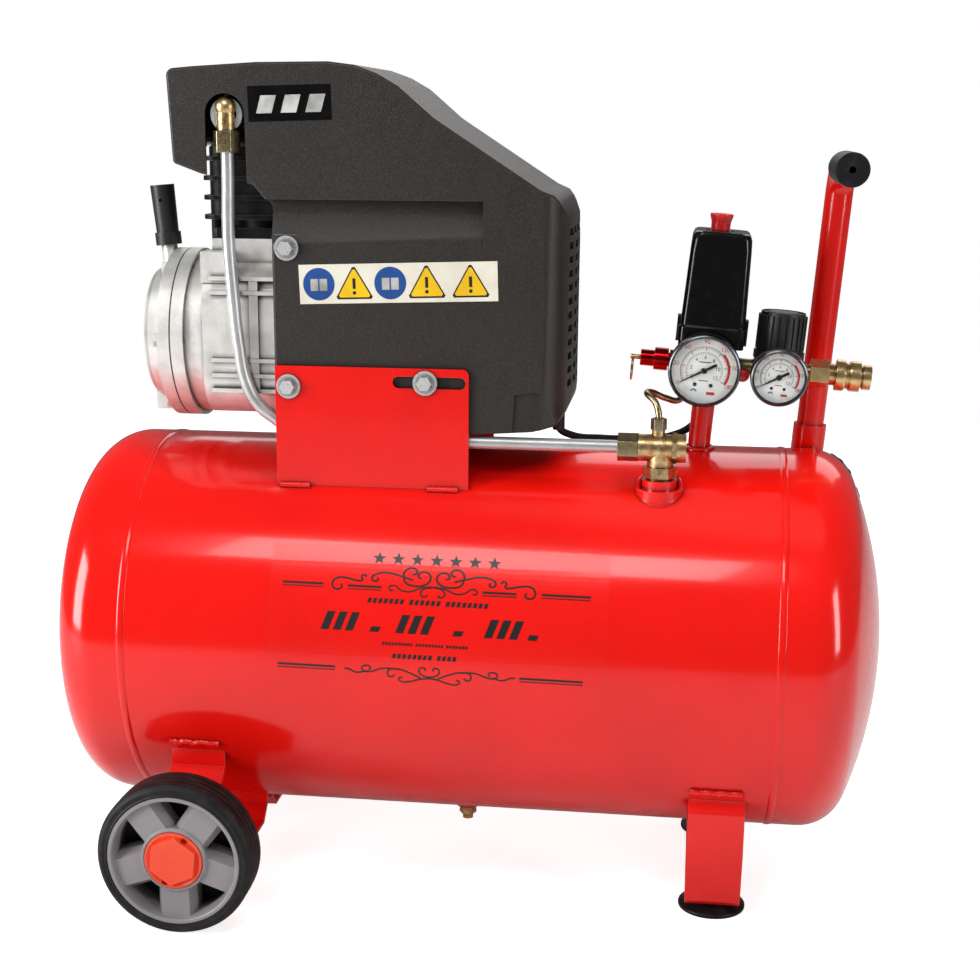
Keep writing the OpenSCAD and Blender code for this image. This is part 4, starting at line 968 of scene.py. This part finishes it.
for ink, shapes in strip_inks.items():
    dress(join(shapes, "sign_strip_" + ink.name.split()[0]), ink, "motor_shroud")
print("sign strip:", sum(len(shapes) for shapes in strip_inks.values()), "shapes")

# %% Dark label
on_label = stuck_on((hood_left + 64, -half - 0.02, top_z - 41.5), math.radians(1.6))
dress(on_label("dark_label", slab_points(0, 0, 64, 26), 0.2), polished_abs, "motor_shroud")
bars = [on_label("bar", slab_points(6 + 19 * i, 6, 18 + 19 * i, 19, 4), 0.28) for i in range(3)]
dress(join(bars, "label_bars"), vinyl_grey, "motor_shroud")

# %% [markdown]
# ## Wheels
# A small wheel of this kind is two mouldings: a hard polypropylene rim with five broad spokes and a
# web deep behind them, made black here as painted shade, and a rubber tyre with grooves round its tread.
# The axle end hides under an orange-red cap that is turned in by its hexagon, with two notches for the
# clips behind it.

# %% Wheel sizes
tyre_low, tyre_high = box_mm("tyre_front")
rim_low, rim_high = box_mm("wheel_rim_front")
wheel_x, wheel_z = (tyre_low.x + tyre_high.x) / 2, (tyre_low.z + tyre_high.z) / 2
tyre_r = (tyre_high.z - tyre_low.z) / 2
rim_r = (rim_high.z - rim_low.z) / 2
face_y = -tyre_low.y
tyre_w = tyre_high.y - tyre_low.y
HUB_R, CAP_R, HEXAGON_R = 25, 23.3, 20.8
ORIGIN = (0, 0, 0)                       # the wheels are modelled here, then moved to their axles
print("tyre radius", round(tyre_r, 2), "width", round(tyre_w, 2))


# %% Tyre profile
def tyre_profile():
    """(across, radius) from the face to the back of the tyre, with grooves round shoulder and tread."""
    points = [(0.3, rim_r + 0.2), (0, rim_r + 1.2), (0.6, rim_r + 2.4), (0.2, rim_r + 3.4),
              (0.2, tyre_r - 4.2), (0.9, tyre_r - 2.6), (2.2, tyre_r - 1.5), (3.0, tyre_r - 2.0),
              (3.8, tyre_r - 0.8)]
    groove, land, across = 1.5, 5.2, 5.2
    while across + land + groove < tyre_w - 4:
        points += [(across, tyre_r - 0.1), (across + land - 0.6, tyre_r), (across + land, tyre_r - 0.5),
                   (across + land + 0.3, tyre_r - 1.7), (across + land + groove - 0.3, tyre_r - 1.7)]
        across += land + groove
    points += [(across, tyre_r - 0.1), (tyre_w - 4, tyre_r - 0.3), (tyre_w - 1, tyre_r - 2),
               (tyre_w, tyre_r - 5), (tyre_w, rim_r + 0.2)]
    return points


def spoke(turn):
    """One broad spoke with sloped sides, pointing down before it is turned."""
    inner, outer = HUB_R - 3, rim_r - 4.5
    foot = [(-15.2, -inner), (15.2, -inner), (15.8, -outer), (-15.8, -outer)]
    piece = outline("spoke", foot, "xz", 12, 24)
    for face in edit(piece, "FACE").faces:
        face.select = face.calc_center_median().y < 12.1 * MM
    bpy.ops.mesh.extrude_region_move(TRANSFORM_OT_translate={"value": (0, -8 * MM, 0)})
    for vertex in bmesh.from_edit_mesh(piece.data).verts:
        if vertex.co.y < 5 * MM:
            vertex.co.x *= 0.7
    done(piece)
    piece.data.transform(Matrix.Rotation(turn, 4, "Y"))
    return clean(piece)


def build_wheel(label, side):
    """Rim, tyre and cap of one wheel, in its own place; side is -1 in front and 1 behind."""
    rim = lathe("rim_" + label, [
        (0.8, rim_r - 3.4), (0.2, rim_r - 2.6), (0.2, rim_r - 0.4), (0.8, rim_r), (tyre_w - 0.8, rim_r),
        (tyre_w - 0.2, rim_r - 0.6), (tyre_w - 0.2, rim_r - 4), (9, rim_r - 5.6)], ORIGIN, "y", steps=96)
    hub = lathe("hub", [(2, CAP_R + 0.5), (1.6, HUB_R), (3.4, HUB_R + 1.6), (tyre_w - 0.4, HUB_R - 1),
                        (tyre_w - 0.4, 6.1), (11.5, 6.1), (11.5, CAP_R + 0.5)], ORIGIN, "y", steps=72)
    fuse(rim, hub, *[spoke(2 * math.pi * i / 5) for i in range(5)])
    rounded_edges(clean(rim), 0.5, 2, 30)
    tyre = lathe("tyre_" + label, tyre_profile(), ORIGIN, "y", steps=160)
    cap = lathe("cap_" + label, [(2.2, 0), (2.2, 17), (1.4, 20.2), (0.7, 21.4), (0.7, 22.6),
                                 (1.6, CAP_R), (6, CAP_R), (6, 0)], ORIGIN, "y", steps=72)
    corners = [math.radians(84 + 60 * i) for i in range(6)]
    hexagon = outline("hexagon", [(HEXAGON_R * math.cos(a), HEXAGON_R * math.sin(a)) for a in corners],
                      "xz", -1.6, 4)
    for vertex in edit(hexagon).verts:
        if vertex.co.y < 0:
            vertex.co.x *= 0.95
            vertex.co.z *= 0.95
    done(hexagon)
    fuse(cap, clean(hexagon))
    notches = []
    for turn in (62, 248):
        notch = box("notch", (CAP_R - 6.5, -1, -2.4), (CAP_R - 1.4, 5, 2.4))
        notch.data.transform(Matrix.Rotation(-math.radians(turn), 4, "Y"))
        notches.append(notch)
    cut(cap, *notches)
    rounded_edges(clean(cap), 0.5, 2, 30)
    # a black disc deep behind the spokes: painted shade in the wheel's windows
    shade_web = lathe("wheel_shade_web_" + label, [(tyre_w - 6, HUB_R - 2), (tyre_w - 6, rim_r - 4),
                                       (tyre_w - 4.2, rim_r - 4), (tyre_w - 4.2, HUB_R - 2)],
                ORIGIN, "y", steps=72)
    place = shift(wheel_x, side * face_y, wheel_z)
    if side > 0:
        place = place @ Matrix.Rotation(math.pi, 4, "Z")
    for piece in (rim, tyre, cap, shade_web):
        piece.data.transform(place)
    dress(shade_web, tyre_rubber, "wheel_rim_" + label)
    for piece, finish, node in ((rim, grey_polypropylene, "wheel_rim_"), (tyre, tyre_rubber, "tyre_"),
                                (cap, orange_polypropylene, "wheel_cap_")):
        dress(piece, finish, node + label, [node + label])
        print(node + label, len(piece.data.polygons), "faces")


for label, side in (("front", -1), ("back", 1)):
    build_wheel(label, side)

# %% [markdown]
# ## The leaning frame of the gauges
# Post, gauges, switch and regulator were welded up as one group that leans a little to the right.
# Working in the group's own upright frame and leaning each piece at the end keeps every number simple.

# %% Leaning frame
LEAN = math.radians(4)
post_frame = shift(POST_X, 0, tank_top - 1) @ Matrix.Rotation(LEAN, 4, "Y")
LINE_Z = 70.5                            # height of the air line above the post's foot
REGULATOR_X = 54.5                       # how far the second gauge and the regulator are from the post


def lean(piece):
    """Moves a piece from the post's own frame to its place."""
    piece.data.transform(post_frame)
    return piece


# %% [markdown]
# ## Gauges
# A gauge is a deep-drawn black case with a rolled bright bezel, a white dial held by two small screws,
# and a needle behind a clear window. The outer scale is red and the inner one black, and a red arc marks
# the high pressures. The numbers are plain scale numbers.

# %% Gauge parts
GAUGES = {"tank": (-3, 56, "tank_gauge_needle"), "line": (REGULATOR_X, 44, "line_gauge_needle")}
FACE_Y, DEPTH = -50, 19
INK_THICK = 0.12
SCALE_START, SCALE_TURN = 210, -240      # degrees, anticlockwise from the right, and how far it runs


def ring_arc(name, radius, wide, start, end, y, thick=INK_THICK, steps=28):
    """A flat curved band on a dial."""
    turns = [math.radians(start + (end - start) * i / steps) for i in range(steps + 1)]
    outer = [((radius + wide / 2) * math.cos(a), (radius + wide / 2) * math.sin(a)) for a in turns]
    inner = [((radius - wide / 2) * math.cos(a), (radius - wide / 2) * math.sin(a)) for a in turns[::-1]]
    return outline(name, outer + inner, "xz", y - thick, y)


def mark(x0, z0, x1, z1, y, name="mark"):
    """A small printed block on a dial."""
    return outline(name, slab_points(x0, z0, x1, z1), "xz", y - INK_THICK, y)


def tick(radius, length, wide, degrees, y):
    """One line of a scale, which starts at radius and points outwards."""
    piece = mark(radius, -wide / 2, radius + length, wide / 2, y, "tick")
    piece.data.transform(Matrix.Rotation(-math.radians(degrees), 4, "Y"))
    return piece


def numeral(value, size, radius, turn, y):
    """A printed number, as a thin mesh facing the front."""
    bpy.ops.object.text_add()
    digits = bpy.context.active_object
    digits.data.body = str(value)
    digits.data.size = size * MM
    digits.data.align_x = "CENTER"
    digits.data.align_y = "CENTER"
    digits.data.extrude = 0.05 * MM
    digits.data.resolution_u = 3
    only(digits)
    bpy.ops.object.convert(target="MESH")
    digits = bpy.context.active_object
    digits.data.transform(shift(radius * math.cos(turn), y, radius * math.sin(turn))
                          @ Matrix.Rotation(math.pi / 2, 4, "X"))
    return digits


def print_dial(r, y):
    """All that is printed on a dial of radius r, as lists of shapes in three inks."""
    outer_r, inner_r = r * 0.66, r * 0.5
    scale_end = SCALE_START + SCALE_TURN
    black = [ring_arc("scale", outer_r, 0.26, SCALE_START, scale_end, y),
             ring_arc("scale", inner_r, 0.2, SCALE_START, scale_end, y)]
    red, blue = [], []
    for i in range(61):
        degrees = SCALE_START + SCALE_TURN * i / 60
        long_tick = i % 10 == 0
        length = r * (0.11 if long_tick else 0.08 if i % 5 == 0 else 0.055)
        black.append(tick(outer_r - length, length, 0.5 if long_tick else 0.3, degrees, y))
        if i % 2 == 0:
            black.append(tick(inner_r - r * 0.05, r * 0.05, 0.24, degrees, y))
    for i in range(7):
        turn = math.radians(SCALE_START + SCALE_TURN * i / 6)
        red.append(numeral(30 * i, r * 0.17, r * 0.8, turn, y - 0.06))
        black.append(numeral(2 * i, r * 0.15, r * 0.37, turn, y - 0.06))
    red.append(ring_arc("high", r * 0.68, r * 0.07, 45, -30, y, 0.16))
    for low, high, wide in ((0.22, 0.245, 0.17), (-0.295, -0.27, 0.13)):
        black.append(mark(-r * wide, r * low, r * wide, r * high, y))
    blue.append(ring_arc("mark", r * 0.08, r * 0.05, 20, 160, y))
    blue[0].data.transform(shift(-r * 0.24, 0, -r * 0.62))
    red.append(mark(r * 0.12, -r * 0.66, r * 0.34, -r * 0.58, y))
    return black, red, blue


def build_gauge(label, x, size, needle):
    """Case, bezel, dial, print and screws of one gauge."""
    r, dial_y, centre = size / 2, FACE_Y + 5.4, (x, FACE_Y, LINE_Z)
    case = lathe(label + "_gauge_case", [(2.5, r - 0.9), (2.5, r - 0.4), (5, r), (DEPTH - 3, r),
                                         (DEPTH - 0.8, r - 1), (DEPTH, r - 3), (DEPTH, 0), (6.2, 0),
                                         (6.2, r - 1.8), (3.2, r - 1.8)], centre, "y", steps=96)
    bezel = lathe(label + "_gauge_bezel", [(0.9, r - 2.9), (0.1, r - 2.3), (0, r - 1.4), (0.5, r - 0.5),
                                           (1.6, r), (5.2, r + 0.1), (5.2, r - 0.4), (2.4, r - 0.8),
                                           (2.4, r - 2.9)], centre, "y", steps=96)
    dial = lathe(label + "_gauge_dial", [(0, 0), (0, r - 1.9), (0.7, r - 1.9), (0.7, 0)],
                 (x, dial_y, LINE_Z), "y", steps=72)
    black, red, blue = print_dial(r, dial_y)
    # low heads, because the needle sweeps over them
    screws = [lathe("screw", [(0, 0), (0.05, r * 0.035), (0.2, r * 0.055), (0.8, r * 0.055), (0.8, 0)],
                    (side * r * 0.22, dial_y - 0.35, -r * 0.4), "y", steps=24) for side in (-1, 1)]
    hub = lathe(label + "_needle_hub", [(0, 0), (0.2, r * 0.07), (1.2, r * 0.085), (1.6, r * 0.06),
                                        (1.6, 0)], (0, dial_y - 2.6, 0), "y", steps=32)
    move = shift(x, 0, LINE_Z)
    for name, shapes, ink in (("black_print", black, dial_black), ("red_print", red, dial_red),
                              ("blue_print", blue, dial_blue), ("dial_screws", screws, bezel_steel)):
        piece = join(shapes, f"{label}_gauge_{name}")
        piece.data.transform(move)
        dress(lean(piece), ink, "gauge_cases")
    hub.data.transform(move)
    dress(lean(hub), dial_black, needle)
    dress(lean(case), gauge_black, "gauge_cases", ["gauge_cases"] if label == "tank" else [])
    dress(lean(bezel), bezel_steel, "gauge_cases")
    dress(lean(dial), dial_white, "gauge_cases")
    print(label, "gauge:", len(black) + len(red) + len(blue), "printed shapes")


for label, (x, size, needle) in GAUGES.items():
    build_gauge(label, x, size, needle)

# %% [markdown]
# ## Pressure switch
# The switch hides under a tall snap-on housing from a polished tool: nearly square in plan, a little
# narrower at the top, with a lip at the foot where it clips over the base, and a shallow well round the
# knob. The raised border round its front is not modelled.


# %% Switch housing
def rounded_plan(width, depth, radius, y, count=6):
    """The plan of a box with round corners."""
    points = []
    for sx, sy, start in ((1, 1, 0), (-1, 1, 90), (-1, -1, 180), (1, -1, 270)):
        for i in range(count + 1):
            a = math.radians(start + 90 * i / count)
            points.append((sx * (width / 2 - radius) + radius * math.cos(a),
                           y + sy * (depth / 2 - radius) + radius * math.sin(a)))
    return points


def loft(name, layers):
    """A closed shape through stacked plans of (z, plan), bridged one to the next."""
    rings = [points_ring("ring", [(a, b, z) for a, b in plan]) for z, plan in layers]
    piece = join(rings, name)
    edit(piece, "EDGE", "SELECT")
    bpy.ops.mesh.bridge_edge_loops()
    bpy.ops.mesh.select_all(action="DESELECT")
    bpy.ops.mesh.select_non_manifold()
    bpy.ops.mesh.edge_face_add()
    done(piece)
    return clean(piece)


SWITCH_Z, SWITCH_TOP, SWITCH_Y = 86, 175, 3


def switch_loft(name, layers):
    """A shape through layers of (height, width, depth, corner radius)."""
    return loft(name, [(z, rounded_plan(width, depth, radius, SWITCH_Y))
                       for z, width, depth, radius in layers])


housing = switch_loft("switch_housing", [
    (SWITCH_Z + 4, 53, 63.5, 6), (SWITCH_Z + 15, 53, 63.5, 6), (SWITCH_Z + 16.5, 50.5, 61.5, 6),
    (SWITCH_TOP - 14, 47, 60, 6), (SWITCH_TOP - 5, 46, 58.5, 7), (SWITCH_TOP - 1.4, 43.5, 56, 8),
    (SWITCH_TOP, 40, 52, 8)])
hollow = switch_loft("hollow", [(SWITCH_Z, 51.4, 62.2, 5), (SWITCH_Z + 12.2, 51.4, 62.2, 5),
                                (SWITCH_Z + 12.6, 43, 54, 5), (SWITCH_TOP - 4, 40, 50, 5)])
cut(housing, hollow, rod("knob_hole", (-2, 2, SWITCH_TOP - 9), (-2, 2, SWITCH_TOP + 5), 6.4, 40))
cut(housing, lathe("knob_well", [(-1.5, 9), (0.1, 9), (0.1, 11.5), (-1.5, 11.5)], (-2, 2, SWITCH_TOP),
                   "z", steps=40))
for x in (-26, 26):
    fuse(housing, box("latch", (x - 1.8, -14, SWITCH_Z + 2), (x + 1.8, -1, SWITCH_Z + 22)))
rounded_edges(clean(housing), 0.8, 2, 32)
dress(lean(housing), polished_abs, "switch_cover", ["switch_cover"])
print("switch housing:", len(housing.data.polygons), "faces")

# %% [markdown]
# ## Regulator's mark and the spare port
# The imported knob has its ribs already. Two curved red strokes printed on its top show that it turns, and
# ride with it. A small red plug closes the port of the air line that nothing uses.

# %% Regulator's mark and plug
knob_top = LINE_Z + 9 + 6.4 + 30.5
arrows = join([ring_arc("arrow", 8.5, 1.1, 20 + 180 * i, 120 + 180 * i, 0, 0.3) for i in range(2)],
              "regulator_arrows")
arrows.data.transform(shift(REGULATOR_X, 0, knob_top - 0.75) @ Matrix.Rotation(-math.pi / 2, 4, "X"))
dress(lean(arrows), dial_red, "regulator_knob")
plug = lathe("line_plug", [(-13, 0), (-12.6, 3.4), (-12, 4.2), (-8, 4.4), (-8, 5.4), (-3, 5.4), (-3, 0)],
             (28, 0, LINE_Z - 6), "y", steps=32)
dress(lean(plug), red_nylon, "manifold")

# %% [markdown]
# ## Tubes and lead
# The thin unloader tube loops up to the switch. The motor lead runs in a flat bow behind the post,
# held at both ends.

# %% Discharge tube, unloader tube and lead
tube_low, tube_high = box_mm("discharge_tube")
pipe_r = 5
run_y = tube_low.y + pipe_r
level_z = tube_low.z + pipe_r
route = [(port_x, run_y + 1, tube_high.z), (port_x, run_y + 1, tube_high.z - 25),
         (port_x - 1, run_y + 1, 530), (port_x + 1.5, run_y, 490), (port_x + 5, run_y, 450),
         (port_x + 11, run_y, 418), (port_x + 20, run_y + 0.6, 402), (port_x + 33, run_y + 1.4, 391.5),
         (port_x + 48, run_y + 1.8, level_z + 4)]
route += [(x, run_y + 2, level_z) for x in (port_x + 66, -60, 40, tube_high.x)]
tube = pipe("drawn_discharge_tube", route, pipe_r, resolution=10, around=8)
dress(tube, drawn_aluminium, "discharge_tube", ["discharge_tube"])
washer = lathe("elbow_washer", [(0, 8), (0, 12.2), (0.4, 12.6), (1.8, 12.6), (1.8, 8)],
               (port_x + 0.6, 3.4 - half, port_z), "y", steps=64)
dress(washer, zinc_plate, "discharge_elbow")


def leaning(x, y, z):
    """A point of the post's frame, in the shared frame, in millimetres."""
    return tuple(post_frame @ (Vector((x, y, z)) * MM) / MM)


unloader_top = leaning(-10, -18.5, SWITCH_Z + 3)
unloader = pipe("bent_unloader_tube", [
    (156, boss_y, level_z + 14), (156, boss_y, level_z + 24), (153, boss_y + 4, level_z + 34),
    (146, boss_y + 14, level_z + 39.5), (149, -48, level_z + 39), (160, -37, level_z + 33),
    (171, -26, level_z + 30.5), leaning(-12, -20, SWITCH_Z - 30), leaning(-10, -18.5, SWITCH_Z - 12),
    unloader_top], 2.5, resolution=8, around=5)
dress(unloader, nickel_brass, "unloader_tube", ["unloader_tube"])

lead_x = 74
lead = pipe("motor_lead", [
    (lead_x, -10, base_z + 2), (lead_x, -10, base_z - 4), (lead_x + 10, -8, base_z - 10.5),
    (lead_x + 34, -1, tank_top + 6.2), (lead_x + 62, 8, tank_top + 5), (lead_x + 90, 14.5, tank_top + 7),
    (lead_x + 108, 20, tank_top + 16), leaning(5, 26, SWITCH_Z - 50), leaning(10.5, 28, SWITCH_Z - 26),
    leaning(11, 28, SWITCH_Z - 8)], 3, resolution=8, around=6)
dress(lead, cable_pvc, "motor_cable", ["motor_cable"])

# %% [markdown]
# ## Badge on the tank
# The printed badge is ornament only: a row of stars, rules, scrolls, slanting strokes where a name would
# stand and dashes where its lines would be. Ink on a curved vessel follows the surface, so each shape is
# drawn flat, cut into short strips and wrapped round the tank's radius, a fraction of a millimetre proud.


# %% Wrapping round the tank
def wrap(piece, lift):
    """Bends a flat piece in the xz plane round the front of the tank, and lifts it off the surface."""
    for vertex in piece.data.vertices:
        x, y, z = vertex.co / MM
        turn = (z - axis_z) / tank_r
        r = tank_r + lift - y
        vertex.co = Vector((x, -r * math.cos(turn), axis_z + r * math.sin(turn))) * MM
    return piece


def strips(name, points, thick=INK_THICK, step=4):
    """A flat shape cut across at every step of height, so that it can bend."""
    piece = outline(name, points, "xz", -thick, 0)
    levels = sorted(z for _x, z in points)
    level = math.ceil(levels[0] / step) * step
    while level < levels[-1]:
        edit(piece, pick="SELECT")
        bpy.ops.mesh.bisect(plane_co=(0, 0, level * MM), plane_no=(0, 0, 1))
        done(piece)
        level += step
    return piece


def slab(name, x0, z0, x1, z1, slant=0.0):
    """A printed block, its corners measured from the badge's middle and the tank's axis."""
    return strips(name, slab_points(badge_x + x0, axis_z + z0, badge_x + x1, axis_z + z1, slant))


def star(x, z, size):
    points = []
    for i in range(10):
        r = size if i % 2 == 0 else size * 0.4
        a = math.radians(90 + 36 * i)
        points.append((x + r * math.cos(a), z + r * math.sin(a)))
    return points


def scroll(name, points, wide):
    """A thin inked curve drawn through points of the xz plane."""
    piece = pipe(name, [(x, 0, z) for x, z in points], wide, resolution=6, around=1)
    for vertex in piece.data.vertices:
        vertex.co.y *= 0.12
    return piece


def dashes(x0, x1, z, high, gap_after=()):
    """A row of short slanting dashes, with wider gaps after some of them."""
    row, x = [], x0
    while x < x1:
        gap = 1.9 if len(row) in gap_after else 1.1
        row.append(slab("dash", x, z, x + high * 0.7, z + high, high * 0.25))
        x += high * gap
    return row


# %% Badge
badge_x = -8
ink = [strips("star", star(badge_x + 14.8 * i, axis_z + 91, 5.4)) for i in range(-3, 4)]
for x0, x1, z in ((-118, -86, 68), (-67, -41, 67.5), (37, 63, 67.5), (82, 119, 68), (-119, -74, 4.5),
                  (68, 116, 3.5)):
    ink += [slab("rule", x0, z, x1, z + 1.6), slab("rule", x0, z - 2, x1, z - 1.3)]
# slanting strokes and squares stand where a name would be, and rows of dashes where its lines would be
ink += [slab("stroke", x + 9.5 * i, 34, x + 9.5 * i + 6, 48, 5) for x in (-86, -28, 40) for i in range(3)]
ink += [slab("square", x, 34, x + 7, 38, 1.5) for x in (-48, 16, 73)]
for x0, x1, z, high, gap_after in ((-51, 42, 56, 3.8, (6, 12)), (-38, 28, 24.5, 2.2, (9, 18)),
                                   (-30, 19, 14.5, 3.6, (7,))):
    ink += dashes(x0, x1, z, high, gap_after)
# the scrolls of one half, keyed by half the width of their line; the other half mirrors them
CURLS = {
    0.85: [[(-17, 79.5), (-14, 80), (-13.4, 82.5), (-16, 84.4), (-20.3, 83.8), (-23.3, 80), (-23, 76),
            (-21.6, 72.8), (-15, 70.6), (-6, 72), (-2.5, 76), (-3.4, 80), (-7, 81.8), (-11, 80.6),
            (-12, 78), (-9.2, 76.6)],
           [(-16, 75), (-25, 77.6), (-35, 79.8), (-43.6, 78.8), (-47.7, 75.5), (-46.4, 73), (-43, 73.6),
            (-43.4, 75.6)],
           [(-51.9, 75.6), (-53.3, 77.4), (-55.8, 76), (-55, 73.2), (-59, 72.6), (-67, 74.2),
            (-74, 74.2), (-78, 70.5), (-77, 66.4), (-73.7, 65.2), (-70.6, 67), (-71.6, 69.4)]],
    0.7: [[(0, 70.4), (-8.4, 69.4), (-18.4, 65.8), (-25, 67), (-30, 70.2), (-33.6, 68.8), (-33.2, 66.4),
           (-30.5, 66.4)],
          [(-1, 69.8), (-7.5, 68.2), (-9.3, 64.8), (-6.4, 62.4), (-3.8, 64)],
          [(0, 1), (-5, 2.2), (-7.8, 5.4), (-6.4, 8), (-3.4, 7.8), (-2.8, 5.8)],
          [(0, 0), (-6.4, -0.8), (-14.7, -3.2), (-21.4, -3.6), (-23.5, -1.2), (-20.6, -0.2)],
          [(-6.4, 0), (-16.4, 4.2), (-24.8, 6.2), (-30.6, 5.4), (-32.3, 2.8), (-29.8, -0.2),
           (-26.5, 1.6)],
          [(-24, 6), (-36.5, 6), (-43.2, 3.6), (-50, 3), (-52.4, 5.4), (-49, 7.6), (-45.4, 6.2),
           (-47, 4.2)],
          [(-48, 3.4), (-56.6, 1.8), (-62.5, 4.2), (-66, 4.4)]],
}
ink += [scroll("curl", [(badge_x - 1 + side * x, axis_z + z) for x, z in curl], wide)
        for side in (-1, 1) for wide, curls in CURLS.items() for curl in curls]
badge = join(ink, "badge_print")
# it was put on a little askew, turned about a point near its middle
askew = Matrix.Rotation(math.radians(-0.6), 4, "Y").inverted()
badge.data.transform(shift(badge_x, 0, axis_z + 45) @ askew @ shift(-badge_x, 0, -axis_z - 45))
wrap(badge, INK_THICK)
dress(badge, badge_black, "tank_shell")
film = strips("badge_film", slab_points(badge_x - 128, axis_z - 12, badge_x + 133, axis_z + 101), 0.08)
dress(wrap(film, 0.02), badge_film, "tank_shell")
print("badge:", len(badge.data.polygons), "faces")

# %% [markdown]
# ## Rating plate
# A small aluminium plate sits on the shoulder of the right head, bent to its curve; the rivet in each
# corner is not modelled. It is a stretch of the head's own profile, lifted a little and spun through a few
# degrees, and its print is left as plain rules.


# %% Rating plate
def head_strip(name, start, end, lift, thick, half_turn, steps=12):
    """A patch of the right head's skin between two stretches of its profile."""
    curve, lining = (head_curve(tank_r + up, KNUCKLE + up, CROWN + up)[start:end]
                     for up in (lift, lift - thick))
    piece = points_ring(name, [(seam_x + along, 0, radius) for along, radius in curve + lining[::-1]])
    piece.data.transform(Matrix.Rotation(-half_turn, 4, "X"))
    edit(piece, pick="SELECT")
    bpy.ops.mesh.edge_face_add()
    bpy.ops.mesh.spin(steps=steps, angle=2 * half_turn, center=(0, 0, 0), axis=(1, 0, 0))
    done(piece)
    piece.data.transform(shift(0, 0, axis_z))
    return smooth(clean(piece), 40)


rating = head_strip("rating_plate", 6, 19, 1.3, 1.0, math.radians(11))
dress(rating, plate_aluminium, "data_plate", ["data_plate"])
rules = join([head_strip("rule", 8 + 3 * i, 10 + 3 * i, 1.5, 0.4, math.radians(8.5)) for i in range(3)],
             "rating_rules")
dress(rules, dial_black, "data_plate")
